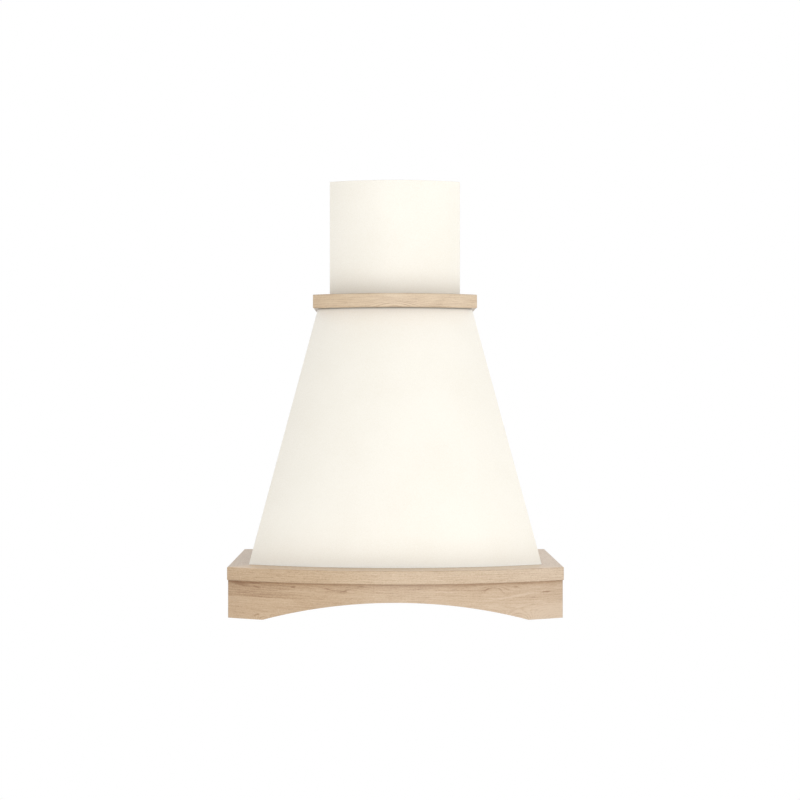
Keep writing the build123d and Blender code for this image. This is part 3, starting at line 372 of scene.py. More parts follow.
def painted_joint_shading(tree, colour, height, edge, line, share=1.0):
    """A colour with painted shade along a joint, or painted light where the tint is above 1, where a height
    nears the joint's edge, as far as the share lets it.
    """
    tint, reach = line
    away = tree.math("ABSOLUTE", tree.scaled(height, 1.0, -edge))
    near = tree.math("EXPONENT", tree.scaled(away, -1 / reach))
    return tree.tinted(colour, tree.mix(tree.math("MULTIPLY", near, share), WHITE, (*tint, 1.0)))


def toned_and_shaded(t, colour, length, height, tone):
    """A board's colour with its tone, and the light and shade painted into it, laid over it."""
    side = t.scaled(length, 1 / TINT_SPAN, 0.5)
    stops = zip(TINT_STOPS, tone.tints)
    colour = t.tinted(colour, t.ramp(side, [(place, (*tint, 1.0)) for place, tint in stops]))
    # painted light on faces that look up, and painted shade on faces that look down
    look = t.axes(t.normal)[2]
    below = t.steps(look, -LEVEL_FROM, -LEVEL_FULL)
    above = t.steps(look, LEVEL_FROM, LEVEL_FULL)
    painted_face_shading = t.mix(above, WHITE, (*tone.top, 1.0))
    painted_face_shading = t.mix(below, painted_face_shading, (tone.under, tone.under, tone.under, 1.0))
    colour = t.tinted(colour, painted_face_shading)
    # painted shade along joints: under the mantel, round the body's foot and at the edges
    if tone.joint:
        colour = painted_joint_shading(t, colour, height, tone.joint, APRON_SHADE)
    if tone.foot:
        inside = round_bow(t, tone.foot)[1]
        colour = painted_joint_shading(t, colour, inside, 0.0, FOOT_SHADE, above)
    for level, line in tone.lip_shades:
        upright = t.math("SUBTRACT", 1.0, below)
        colour = painted_joint_shading(t, colour, height, level, line, upright)
    return colour


def oak(name, along, seed, bow, pith, lean, tone, knots=(), marks=None, coarse=1.0):
    """Raw sanded oak, its grain along an axis or round a bow.

    pith is the height and depth of the log's middle, lean is its slope, and knots draw its rings aside.
    marks adds a board's own marks, and coarse scales the short marks of the grain against its long streaks.
    """
    t = Tree(name)
    axes = length, height, depth = board_axes(t, along, bow)
    rings, nearness = figure(t, length, height, depth, seed, pith, lean, knots)
    drift = grain(t, axes, seed, *OAK_GRAIN["drift"])
    phase = t.math("FRACT", t.math("ADD", t.scaled(rings, 1 / RING_PITCH), t.scaled(drift, 3.0)))
    early = t.math("SUBTRACT", 1.0, t.steps(phase, 0.0, 0.55))
    patch = grain(t, axes, -seed, *OAK_GRAIN["patch"])
    streak = grain(t, axes, seed, *OAK_GRAIN["streak"])
    fibre = grain(t, axes, seed, *OAK_GRAIN["fibre"])
    speck = grain(t, axes, 3 * seed, *OAK_GRAIN["speck"])
    pores = t.math("MULTIPLY", t.steps(grain(t, axes, seed, *OAK_GRAIN["pore"]), 0.56, 0.70),
                   t.scaled(early, 0.75, 0.25))
    flecks = t.math("MULTIPLY", t.steps(grain(t, axes, 2 * seed, *OAK_GRAIN["fleck"]), 0.64, 0.76),
                    t.steps(patch, 0.44, 0.60))
    contrast = t.scaled(nearness, 0.50, 0.13)
    shade = t.math("ADD", t.math("MULTIPLY", early, contrast), 0.36)
    weights = ((streak, 1.3 - 0.6 * coarse), (fibre, 0.95 * coarse), (speck, 0.90 * coarse), (patch, 0.50))
    for part, weight in weights:
        shade = t.math("ADD", shade, t.scaled(part, weight, -0.5 * weight))
    if marks:
        shade = t.math("ADD", shade, marks(t, length, height))
    colour = t.ramp(shade, [(0.0, OAK_LIGHT), (0.45, OAK_MIDDLE), (1.0, OAK_DARK)])
    colour = t.mix(t.scaled(flecks, 0.24 * coarse), colour, OAK_PORE)
    colour = t.mix(t.scaled(pores, 0.30 * coarse), colour, OAK_PORE)
    relief = t.math("ADD", t.scaled(fibre, 0.5), t.scaled(pores, -0.8))
    relief = t.math("ADD", relief, t.scaled(early, -0.25))
    return t.finish(
        Base_Color=toned_and_shaded(t, colour, length, height, tone),
        Roughness=t.scaled(fibre, 0.16, 0.27), Specular_IOR_Level=0.5,
        Normal=t.bump(relief, distance=0.00012, strength=0.8, edge=EDGE_RADIUS),
    )


def spot(t, length, height, place, level, reach, rise, slope):
    """1 in the middle of a long spot on a slope, falling off to 0 over its reach and its rise."""
    aside = t.scaled(length, 1.0, -place)
    off = t.math("SUBTRACT", t.scaled(height, 1.0, -level), t.scaled(aside, slope))
    near = t.math("ADD", t.math("POWER", t.scaled(aside, 1 / reach), 2.0),
                  t.math("POWER", t.scaled(off, 1 / rise), 2.0))
    return t.math("EXPONENT", t.math("MULTIPLY", near, -1.0))


STAVE_RUN = (-0.11, -0.25)   # where the two staves at the apron's left begin to show, and show fully
STAVE_EDGE = 0.0004          # softness of the joint between them
GLUE_LINE = (0.0011, 0.0003)    # half width of the pale line in that joint, at its outside and inside
PALE_RUN = (0.12, 0.28)      # where the paler foot at the right begins, and is palest
PALE_DROP = (0.004, -0.022)  # its heights against the level of that joint, likewise
MARK_BEND = 0.005            # how far the small marks wander up and down
APRON_SPOTS = (              # place, height over the feet, reach, thickness, slope, depth of tone
    (-0.183, 0.0605, 0.0032, 0.0011, 0.0, 1.15),
    (-0.120, 0.0580, 0.0100, 0.0010, -0.22, 0.75),
    (-0.089, 0.0555, 0.0080, 0.0010, 0.25, 0.65),
    (-0.062, 0.0630, 0.0070, 0.0018, 0.0, 0.45),
    (-0.292, 0.0630, 0.0160, 0.0030, -0.15, 0.60),
    (-0.254, 0.0575, 0.0070, 0.0011, -0.30, 0.60),
    (-0.262, 0.0655, 0.0150, 0.0016, -0.06, 0.35),
    (-0.200, 0.0520, 0.0300, 0.0016, 0.02, -0.35),
    (-0.256, 0.0080, 0.0060, 0.0010, 0.30, 0.70),
    (0.279, 0.0482, 0.0080, 0.0010, 0.0, 1.10),
    (0.218, 0.0590, 0.0040, 0.0010, 0.0, 0.60),
    (0.158, 0.0555, 0.0100, 0.0014, 0.15, 0.45),
    (0.215, 0.0430, 0.0500, 0.0016, 0.12, -0.40),
    (0.085, 0.0530, 0.0300, 0.0014, -0.03, -0.40),
)


def apron_marks(t, length, height):
    """A browner upper stave at the left with a fine glue line, and small dark marks of the figure."""
    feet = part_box("apron_front")[0].z
    level = t.scaled(height, 1.0, -feet - STAVE_HEIGHT)
    upper = t.steps(level, -STAVE_EDGE, STAVE_EDGE)
    left = t.steps(length, *STAVE_RUN)
    line = t.steps(t.math("ABSOLUTE", level), *GLUE_LINE)
    total = t.math("MULTIPLY", left, t.scaled(upper, 0.40, -0.12))
    total = t.math("ADD", total, t.math("MULTIPLY", left, t.scaled(line, -0.12)))
    right = t.math("MULTIPLY", t.steps(length, *PALE_RUN), t.steps(level, *PALE_DROP))
    total = t.math("ADD", total, t.scaled(right, -0.42))
    drift = t.grey_noise(t.vector(t.scaled(length, 70.0), t.scaled(height, 130.0), 0.0), detail=2.0)
    bent = t.math("ADD", height, t.scaled(drift, MARK_BEND, -MARK_BEND / 2))
    for place, rise, reach, thick, slope, depth in APRON_SPOTS:
        mark = spot(t, length, bent, place, feet + rise, reach, thick, slope)
        total = t.math("ADD", total, t.scaled(mark, depth))
    return total


# ---- Other woods -------------------------------------------------------------------------------------
PINE_TONES = ((0.0, srgb(235, 212, 168)), (0.5, srgb(222, 190, 138)), (1.0, srgb(184, 134, 82)))
VENEER_TONES = ((0.0, srgb(229, 203, 162)), (0.5, srgb(203, 168, 120)), (1.0, srgb(128, 92, 60)))
BIRCH_TONES = ((0.0, srgb(236, 214, 178)), (0.6, srgb(224, 196, 154)), (1.0, srgb(200, 166, 120)))


def pine(name, along, seed):
    """Planed softwood of the hidden rails, posts and blocks."""
    t = Tree(name)
    length, height, depth = board_axes(t, along)
    rings, _ = figure(t, length, height, depth, seed, (0.06, 0.05), 0.015, ())
    late = t.steps(t.math("PINGPONG", t.scaled(rings, 1 / SOFTWOOD_PITCH), 1.0), 0.55, 0.95)
    fibre = t.grey_noise(t.vector(t.scaled(length, 20.0, seed), t.scaled(height, 900.0),
                                  t.scaled(depth, 900.0)), detail=3.0)
    patch = t.grey_noise(t.point, scale=7.0)
    shade = t.math("ADD", t.scaled(late, 0.42, 0.10), t.scaled(fibre, 0.35, -0.10))
    shade = t.math("ADD", shade, t.scaled(patch, 0.30, -0.12))
    return t.finish(
        Base_Color=t.ramp(shade, PINE_TONES), Roughness=t.scaled(fibre, 0.15, 0.52), Specular_IOR_Level=0.3,
        Normal=t.bump(fibre, distance=0.0001, strength=0.7, edge=EDGE_RADIUS),
    )


def veneers(t, across):
    """Colour of plywood's cut edge, its veneers counted across the sheet."""
    layer = t.math("FLOOR", t.scaled(across, 1 / PLY_PITCH))
    cross = t.math("PINGPONG", layer, 1.0)
    fine = t.grey_noise(t.point, scale=700.0, detail=2.0)
    gap = t.steps(t.math("PINGPONG", t.scaled(across, 1 / PLY_PITCH), 0.5), 0.10, 0.0)
    shade = t.math("ADD", t.scaled(cross, 0.45, 0.1), t.scaled(fine, 0.4, -0.1))
    shade = t.math("ADD", shade, t.scaled(gap, 0.5))
    return t.ramp(shade, VENEER_TONES)


def birch_face(t, seed, turned=False):
    """Colour and fine grain of the sheet's face veneer."""
    x, y, z = t.axes(t.point)
    length, across = (z, x) if turned else (x, y)
    wave = t.grey_noise(t.vector(t.scaled(length, 3.0, seed), t.scaled(across, 14.0), 0.0), detail=2.0)
    fine = t.grey_noise(t.vector(t.scaled(length, 30.0, seed), t.scaled(across, 700.0), t.scaled(z, 30.0)),
                        detail=3.0)
    band = t.math("PINGPONG", t.math("ADD", t.scaled(across, 42.0), t.scaled(wave, 5.0)), 1.0)
    shade = t.math("ADD", t.scaled(band, 0.35), t.scaled(fine, 0.55, -0.1))
    return t.ramp(shade, BIRCH_TONES), fine


def plywood(name, seed):
    """Birch plywood lying level: plain faces and layered edges."""
    t = Tree(name)
    face, fine = birch_face(t, seed)
    z = t.axes(t.point)[2]
    colour = t.mix(lies_level(t), veneers(t, z), face)
    return t.finish(
        Base_Color=colour, Roughness=t.scaled(fine, 0.15, 0.48), Specular_IOR_Level=0.35,
        Normal=t.bump(fine, distance=0.00008, strength=0.6, edge=EDGE_RADIUS),
    )


LACQUER = srgb(248, 244, 234)
LACQUER_DULL = srgb(244, 239, 227)
LACQUER_BRIGHT = srgb(251, 247, 237)


def lacquer(name, centre, seed, joint=None, foot=None):
    """Cream satin lacquer outside, bare birch inside and on the cut edges of bent plywood.

    centre is a point of the plan that every outer face looks away from, joint is the height of the piece
    under which shade is painted, with painted light round that line, and foot that of the paint's lower edge,
    where painted light brightens it.
    """
    t = Tree(name)
    x, y, z = t.axes(t.point)
    normal = t.axes(t.normal)
    outward = t.math("ADD", t.math("MULTIPLY", normal[0], t.scaled(x, 1.0, -centre[0])),
                     t.math("MULTIPLY", normal[1], t.scaled(y, 1.0, -centre[1])))
    painted = t.steps(outward, -PAINT_TURN, PAINT_TURN)
    level = t.math("SUBTRACT", 1.0, lies_level(t))
    painted = t.math("MULTIPLY", painted, level)
    bare, fine = birch_face(t, seed, turned=True)
    edge = veneers(t, t.math("ADD", t.math("ABSOLUTE", x), t.math("ABSOLUTE", y)))
    bare = t.mix(level, edge, bare)
    speckle = t.grey_noise(t.point, scale=620.0, detail=2.0, roughness=0.7)
    cloud = t.grey_noise(t.point, scale=9.0, detail=2.0)
    tint = t.math("ADD", t.scaled(speckle, 1.3, -0.4), t.scaled(cloud, 0.5))
    cream = t.ramp(tint, [(0.25, LACQUER_DULL), (0.55, LACQUER), (0.8, LACQUER_BRIGHT)])
    # painted shadow under the neck band, with painted light round it, and painted light at the foot
    if joint:
        cream = painted_joint_shading(t, cream, z, joint, PANEL_PAINTED_LIGHT)
        cream = painted_joint_shading(t, cream, z, joint, PANEL_SHADE)
    if foot:
        cream = painted_joint_shading(t, cream, z, foot, PANEL_FOOT_LIGHT)
    colour = t.mix(painted, bare, cream)
    peel = t.grey_noise(t.point, scale=260.0, detail=1.0)
    relief = t.mix(painted, fine, peel)
    rough = t.math("ADD", t.scaled(speckle, 0.10, 0.36), t.scaled(t.math("SUBTRACT", 1.0, painted), 0.18))
    return t.finish(
        Base_Color=colour, Roughness=rough, Specular_IOR_Level=0.42,
        Normal=t.bump(relief, distance=0.00005, strength=0.45, edge=EDGE_RADIUS),
    )


# ---- Metals, glass and plastics ----------------------------------------------------------------------
def brushed(name, colour, along, scale, rough):
    """Metal with fine lines along an axis, faint smears and eased edges."""
    t = Tree(name)
    length, height, depth = board_axes(t, along)
    lines = t.grey_noise(t.vector(t.scaled(length, 12.0), t.scaled(height, scale), t.scaled(depth, scale)),
                         detail=3.0, roughness=0.7)
    smear = t.grey_noise(t.point, scale=16.0, detail=3.0)
    tint = t.math("ADD", t.scaled(lines, 0.7), t.scaled(smear, 0.3))
    darker = tuple(c * 0.72 for c in colour[:3]) + (1.0,)
    shade = t.ramp(tint, [(0.25, darker), (0.6, colour)])
    roughness = t.math("ADD", t.scaled(lines, 0.20, rough - 0.10), t.scaled(smear, 0.14, -0.07))
    return t.finish(
        Base_Color=shade, Metallic=1.0, Roughness=roughness,
        Normal=t.bump(lines, distance=0.00004, strength=0.5, edge=METAL_EDGE),
    )


def cast(name, colour, scale, rough, depth=0.00008, metallic=0.0, level=0.5):
    """Moulded or coated surface with a fine grain and slight wear of tone."""
    t = Tree(name)
    fine = t.grey_noise(t.point, scale=scale, detail=2.0, roughness=0.6)
    wear = t.grey_noise(t.point, scale=22.0, detail=3.0)
    lighter = tuple(min(1.0, c * 1.5 + 0.01) for c in colour[:3]) + (1.0,)
    shade = t.mix(t.steps(wear, 0.35, 0.8), colour, lighter)
    return t.finish(
        Base_Color=shade, Metallic=metallic, Roughness=t.scaled(fine, 0.16, rough - 0.08),
        Specular_IOR_Level=level,
        Normal=t.bump(fine, distance=depth, strength=0.6, edge=METAL_EDGE),
    )


LENS_TONES = ((0.0, srgb(236, 236, 230)), (1.0, srgb(248, 248, 244)))


def frosted(name, middle):
    """Frosted lens with fine moulded rings round its axis."""
    t = Tree(name)
    x, y, _ = t.axes(t.point)
    offset = t.math("ADD", t.math("POWER", t.scaled(x, 1.0, -middle.x), 2.0),
                    t.math("POWER", t.scaled(y, 1.0, -middle.y), 2.0))
    ring = t.math("PINGPONG", t.scaled(t.math("SQRT", offset), 1 / LENS_RINGS), 1.0)
    fine = t.grey_noise(t.point, scale=2400.0, detail=1.0)
    relief = t.math("ADD", ring, t.scaled(fine, 0.4))
    return t.finish(
        Base_Color=t.ramp(ring, LENS_TONES), Roughness=t.scaled(fine, 0.15, 0.28),
        Transmission_Weight=0.15, IOR=1.5,
        Normal=t.bump(relief, distance=0.0002, strength=0.7),
    )


STAINLESS = srgb(196, 196, 194)
ALUMINIUM = srgb(205, 206, 208)
ZINC = srgb(186, 188, 184)
CHROME = srgb(208, 209, 212)
BLACK = srgb(34, 34, 36)
GLOSS_BLACK = srgb(26, 26, 28)
MOTOR_GREY = srgb(78, 82, 86)


def dress(node, material):
    """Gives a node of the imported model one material."""
    slots = frame["nodes"][node].data.materials
    slots.clear()
    slots.append(material)


# Tone of each board at its left end, middle and right end, against the palest oak: partly the wood's own
# tone, partly painted light that makes the right ends and the right side boards paler
MANTEL_TINTS = ((0.865, 0.795, 0.715), (0.815, 0.765, 0.70), (0.95, 0.945, 0.965))
APRON_TINTS = ((0.86, 0.78, 0.70), (0.785, 0.725, 0.655), (0.855, 0.81, 0.79))
NECK_TINTS = ((0.98, 0.91, 0.81), (1.055, 1.065, 1.065), (1.06, 1.06, 1.06))
LEFT_TINTS = ((0.87, 0.80, 0.73),) * 3
RIGHT_TINTS = ((0.96, 0.94, 0.92),) * 3
MANTEL_TOP_LIGHT = {              # painted light: a brighter tone on the mantel's upper faces
    "front": (1.28, 1.25, 1.20),
    "left": (1.08, 1.09, 1.11),
    "right": (1.19, 1.18, 1.20),
}
NECK_SHADE = 0.86            # painted shade: a darker tone of the neck band's underside, which lies in its own shade
# painted shade under the side boards of the neck band
NECK_SIDE_SHADE = 0.9 * NECK_SHADE


def dress_mantel():
    """Front board and side boards of the base band's shelf."""
    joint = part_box("mantel_front")[0].z
    bow = bow_of("mantel_front", "mantel_side_right")
    body = bow_of("body_front_panel", "body_side_right")
    # painted light on the upper faces, painted shade at the lower edge and round the body's foot
    front = Tone(MANTEL_TINTS, MANTEL_TOP_LIGHT["front"], lip_shades=((joint, MANTEL_LIP_SHADE),), foot=body)
    left = Tone(LEFT_TINTS, MANTEL_TOP_LIGHT["left"])
    right = Tone(RIGHT_TINTS, MANTEL_TOP_LIGHT["right"])
    dress("mantel_front", oak("oak_mantel_front", "X", 1.7, bow, (-0.34, 0.11), 0.012, front, coarse=0.85))
    dress("mantel_side_left", oak("oak_mantel_left", "Y", 5.3, None, (-0.30, -0.10), 0.03, left))
    dress("mantel_side_right", oak("oak_mantel_right", "Y", 8.1, None, (-0.31, 0.12), 0.03, right))


def dress_apron():
    """Front board and side boards under the shelf."""
    feet, joint = (corner.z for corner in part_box("apron_front"))
    bow = bow_of("apron_front", "apron_side_right")
    knots = (                # place, height, reach, rise and how far each draws the rings aside
        (0.222, feet - 0.008, 0.042, 0.022, -0.046),
        (-0.240, feet - 0.003, 0.020, 0.011, -0.020),
        (-0.100, feet + 0.056, 0.030, 0.0045, 0.0035),
        (0.175, feet + 0.056, 0.020, 0.0070, 0.0062),
    )
    # painted shade at the apron's top, under the mantel
    front = Tone(APRON_TINTS, joint=joint)
    left = Tone(LEFT_TINTS, joint=joint)
    right = Tone(RIGHT_TINTS, joint=joint)
    dress("apron_front", oak("oak_apron_front", "X", 3.4, bow, (-0.18, 0.045), 0.035, front, knots,
                             apron_marks, coarse=0.75))
    dress("apron_side_left", oak("oak_apron_left", "Y", 11.9, None, (-0.33, -0.20), 0.03, left))
    dress("apron_side_right", oak("oak_apron_right", "Y", 14.2, None, (-0.17, 0.21), 0.04, right))


def dress_neck_band():
    """Front board and side boards round the neck."""
    low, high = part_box("neck_band_front")
    bow = bow_of("neck_band_front", "neck_band_side_right")
    knots = ((0.0, low.z + 0.006, 0.045, 0.012, -0.010),)    # a soft arch in the middle
    # painted shade at the lower and upper edges and on the underside
    lip_shades = ((low.z, NECK_LIP_SHADE), (high.z, NECK_RIM_SHADE))
    front = Tone(NECK_TINTS, under=NECK_SHADE, lip_shades=lip_shades)
    side = Tone(under=NECK_SIDE_SHADE, lip_shades=lip_shades)
    dress("neck_band_front", oak("oak_neck_front", "X", 17.6, bow, (0.20, 0.08), 0.02, front, knots,
                                 coarse=0.5))
    dress("neck_band_side_left", oak("oak_neck_left", "Y", 21.3, None, (0.20, -0.05), 0.02, side))
    dress("neck_band_side_right", oak("oak_neck_right", "Y", 24.8, None, (0.36, 0.05), 0.02, side))


def dress_carcass():
    """Plywood sheets, and softwood whose grain runs along the axis named."""
    for seed, node in enumerate(("base_deck", "middle_former", "neck_ring"), start=1):
        dress(node, plywood("birch_" + node, 3.1 * seed))
    runs = {
        "mantel_rear_rail": "X", "hanging_rail": "X", "rear_bottom_rail": "X", "wall_cleat": "X",
        "chimney_rear_ties": "X", "apron_glue_blocks": "Y", "chimney_stop_blocks": "Y",
        "corner_post_left": "Z", "corner_post_right": "Z", "rear_stile_left": "Z", "rear_stile_right": "Z",
        "chimney_batten_left": "Z", "chimney_batten_right": "Z",
    }
    for seed, (node, along) in enumerate(runs.items(), start=1):
        dress(node, pine("pine_" + node, along, 2.3 * seed))


def dress_paint():
    """Painted panels of the chimney and of the tapered body."""
    inside = (0.0, (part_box("chimney_side_right")[0].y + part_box("chimney_front")[1].y) / 2)
    for seed, part in enumerate(("front", "side_left", "side_right"), start=1):
        dress("chimney_" + part, lacquer("lacquer_chimney_" + part, inside, 4.7 * seed))
    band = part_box("neck_band_front")[0].z
    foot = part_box("body_front_panel")[0].z
    # painted shadow under the neck band, with painted light round it and at the body's foot
    for seed, node in enumerate(("body_front_panel", "body_side_left", "body_side_right"), start=4):
        dress(node, lacquer("lacquer_" + node, inside, 4.7 * seed, band, foot))


def dress_insert():
    """Metal and plastic of the extractor that the cover holds."""
    stainless = brushed("brushed_stainless", STAINLESS, "X", 1500.0, 0.30)
    aluminium = brushed("satin_aluminium", ALUMINIUM, "X", 900.0, 0.38)
    zinc = brushed("zinc_steel", ZINC, "Z", 500.0, 0.40)
    black = cast("black_plastic", BLACK, 1400.0, 0.52)
    for node in ("insert_housing", "filter_hinge_lugs"):
        dress(node, stainless)
    for node in ("filter_frame_left", "filter_frame_right", "damper_flap_front", "damper_flap_rear"):
        dress(node, aluminium)
    for node in ("deck_screws", "motor_bracket", "fan_shaft"):
        dress(node, zinc)
    for node in ("blower_shell_left", "blower_shell_right", "outlet_collar", "switch_block", "terminal_box",
                 "impeller"):
        dress(node, black)


# ---- Small parts in mesh code ------------------------------------------------------------------------
def turned(place, axis, rows, ring=False, shape=None, around=ROUND):
    """Points and faces of a profile turned about an upright axis (Z) or one across the cover (X).

    rows are (radius, height) along the profile. A ring closes on itself, and other profiles end on the axis.
    shape(angle, radius, height) can move a point.
    """
    points, faces = [], []
    for radius, height in rows:
        for i in range(around):
            angle = 2 * math.pi * i / around
            reach, level = shape(angle, radius, height) if shape else (radius, height)
            a, b = reach * math.cos(angle), reach * math.sin(angle)
            points.append(Vector(place) + Vector({"Z": (a, b, level), "X": (level, a, b)}[axis]))
    count = len(rows)
    for j in range(count if ring else count - 1):
        here, there = j * around, (j + 1) % count * around
        for i in range(around):
            k = (i + 1) % around
            faces.append((here + i, here + k, there + k, there + i))
    if not ring:
        faces.append(tuple(range(around))[::-1])
        faces.append(tuple(range((count - 1) * around, count * around)))
    return points, faces


def piece(node, shapes, material):
    """One piece of several shapes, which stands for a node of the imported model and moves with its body."""
    points, faces = [], []
    for more, sides in shapes:
        start = len(points)
        points.extend(more)
        faces.extend(tuple(start + i for i in side) for side in sides)
    mesh = bpy.data.meshes.new("fine_" + node)
    mesh.from_pydata(points, [], faces)
    shape = bmesh.new()
    shape.from_mesh(mesh)
    bmesh.ops.recalc_face_normals(shape, faces=shape.faces)
    shape.to_mesh(mesh)
    shape.free()
    mesh.materials.append(material)
    mesh.shade_smooth()
    mesh.set_sharp_from_angle(angle=math.radians(SHARP_ANGLE))
    obj = bpy.data.objects.new("fine_" + node, mesh)
    bpy.context.scene.collection.objects.link(obj)
    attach(obj, frame["nodes"][node].parent.name.removeprefix("body:"))
    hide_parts(node)


def middle_of(node):
    low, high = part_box(node)
    return (low + high) / 2


def strand(start, step, side, up, count, swing, flip, width):
    """One wavy strand of expanded metal.

    It runs by steps, swings to its two sides and lies flat at each bond with its neighbour.
    """
    points, faces = [], []
    for i in range(4 * count + 1):
        sign = 1 if (i // 2 + flip) % 2 else -1
        run = i // 2 + (MESH_BOND if i % 2 else 0.0)
        centre = start + step * (run / 2) + side * (sign * swing)
        tilt = up * (sign * MESH_SHEET * MESH_TILT)
        for across, rise in ((-1, -1), (1, -1), (1, 1), (-1, 1)):
            points.append(centre + side * (across * width / 2) + up * (rise * MESH_SHEET / 2) + tilt)
    for i in range(4 * count):
        for k in range(4):
            here, there = 4 * i + k, 4 * i + (k + 1) % 4
            faces.append((here, there, there + 4, here + 4))
    last = 16 * count
    return points, [*faces, (3, 2, 1, 0), (last, last + 1, last + 2, last + 3)]


def filter_core(node):
    """Layers of expanded metal, one over another, in the space inside a filter's frame."""
    low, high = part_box(node)
    size = high - low
    layers = []
    for number, (long, short, width, turned_round) in enumerate(MESH_LAYERS):
        level = low.z + size.z * (number + 0.5) / len(MESH_LAYERS)
        run, rows = (size.y, size.x) if turned_round else (size.x, size.y)
        along, across = (Vector((0, 1, 0)), Vector((1, 0, 0)))[:: 1 if turned_round else -1]
        count, lanes = int(run / long), int(rows / short)
        step = along * (run / (count + MESH_END))
        lane = rows / lanes
        for j in range(lanes):
            side_start = low.x if turned_round else low.y
            start = across * (side_start + (j + 0.5) * lane) + along * (low.y if turned_round else low.x)
            start.z = level
            swing = (lane - width) / 2
            layers.append(strand(start, step, across, Vector((0, 0, 1)), count, swing, j % 2, width))
    return layers


def recess(angle, radius, height):
    """Sinks a cross into the middle of a screw's head, whose face looks down."""
    x, y = radius * math.cos(angle), radius * math.sin(angle)
    arm = min(abs(x), abs(y))
    if height < SCREW_HEAD_HEIGHT / 2 and radius < RECESS_REACH and arm < RECESS_ARM:
        height += RECESS_DEPTH * (1 - radius / RECESS_REACH * 0.5)
    return radius, height


def insert_screws():
    """Pan heads with a cross recess at the four corners of the flange, and their shanks."""
    low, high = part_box("insert_screws")
    crown, length = SCREW_HEAD_HEIGHT, high.z - low.z
    head = [(SMALL, 0.0)] + [(SCREW_HEAD * r, crown * SCREW_CAMBER * r**3) for r in SCREW_FACE]
    head += [(SCREW_HEAD * r, crown * rise) for r, rise in SCREW_EDGE]
    shank = [(SCREW_SHANK, crown), (SCREW_SHANK, length - SCREW_SHANK), (SMALL, length)]
    return [
        turned((x, y, low.z), "Z", head + shank, shape=recess, around=SCREW_ROUND)
        for x in (low.x + SCREW_HEAD, high.x - SCREW_HEAD) for y in (low.y + SCREW_HEAD, high.y - SCREW_HEAD)
    ]


def push_button(node):
    """Cap with a dished face and an eased rim, its shoulder and its stem."""
    low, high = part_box(node)
    middle = middle_of(node)
    cap, top, shoulder = BUTTON_CAP, high.z - low.z, (high.x - low.x) / 2
    rows = [*BUTTON_FACE, (BUTTON_RADIUS, cap), (shoulder, cap), (shoulder, cap + BUTTON_SHOULDER)]
    rows += [(BUTTON_STEM, cap + BUTTON_SHOULDER), (BUTTON_STEM, top - BUTTON_EASE)]
    rows += [(BUTTON_STEM - BUTTON_EASE, top), (SMALL, top)]
    return [turned((middle.x, middle.y, low.z), "Z", rows)]


def lamp_bezel(node):
    """Rolled rim round the lens's seat, and a ribbed body above the flange."""
    low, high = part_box(node)
    middle = middle_of(node)
    rim, top = (high.x - low.x) / 2, high.z - low.z
    rows = [(SMALL, LENS_DEPTH), (LENS_SEAT, LENS_DEPTH)]
    rows += [(LENS_SEAT + out, level) for out, level in BEZEL_LIP]
    rows += [(rim + out, level) for out, level in BEZEL_ROLL]
    rows += [(rim, BEZEL_FLANGE), (BEZEL_BODY, BEZEL_FLANGE)]
    for share in BEZEL_GROOVES:
        rows += [(BEZEL_BODY + out, top * share + rise) for out, rise in BEZEL_GROOVE]
    rows += [(BEZEL_BODY, top - BEZEL_EASE), (BEZEL_BODY - BEZEL_EASE, top), (SMALL, top)]
    return [turned((middle.x, middle.y, low.z), "Z", rows, around=FINE_ROUND)]


def lamp_lens(node):
    """Lens with a shallow dome and an eased edge."""
    low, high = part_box(node)
    middle = middle_of(node)
    rim, top = (high.x - low.x) / 2, high.z - low.z
    rows = [(SMALL, 0.0)] + [(rim * r, LENS_DOME * r**2) for r in LENS_FACE]
    rows += [(rim, LENS_EASE), (rim, top), (SMALL, top)]
    return [turned((middle.x, middle.y, low.z), "Z", rows, around=FINE_ROUND)]


def cable_gland():
    """Hexagon foot, ribbed nut and a tapered mouth round the bore."""
    low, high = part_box("cable_gland")
    middle = middle_of("cable_gland")
    rim, length = (high.y - low.y) / 2, high.x - low.x
    foot, waist_end = GLAND_FOOT * length, GLAND_WAIST_END * length

    def hexagon(angle, radius, height):
        """Draws the foot in to a hexagon, and cuts ribs into the nut."""
        if radius > 0.9 * rim:
            if height <= foot:
                radius *= math.cos(math.pi / 6) / math.cos(angle % (math.pi / 3) - math.pi / 6)
            elif math.cos(GLAND_RIBS * angle) < 0:
                radius -= GLAND_RIB
        return radius, height

    rows = [(GLAND_BORE, 0.0), (rim, 0.0), (rim, foot), (GLAND_WAIST * rim, foot)]
    rows += [(GLAND_WAIST * rim, waist_end), (rim, waist_end), (rim, GLAND_NUT_END * length)]
    rows += [(GLAND_TAPER * rim, GLAND_TAPER_END * length), (GLAND_BORE + GLAND_MOUTH, length)]
    rows += [(GLAND_BORE, length)]
    return [turned((low.x, middle.y, middle.z), "X", rows, ring=True, shape=hexagon, around=FINE_ROUND)]


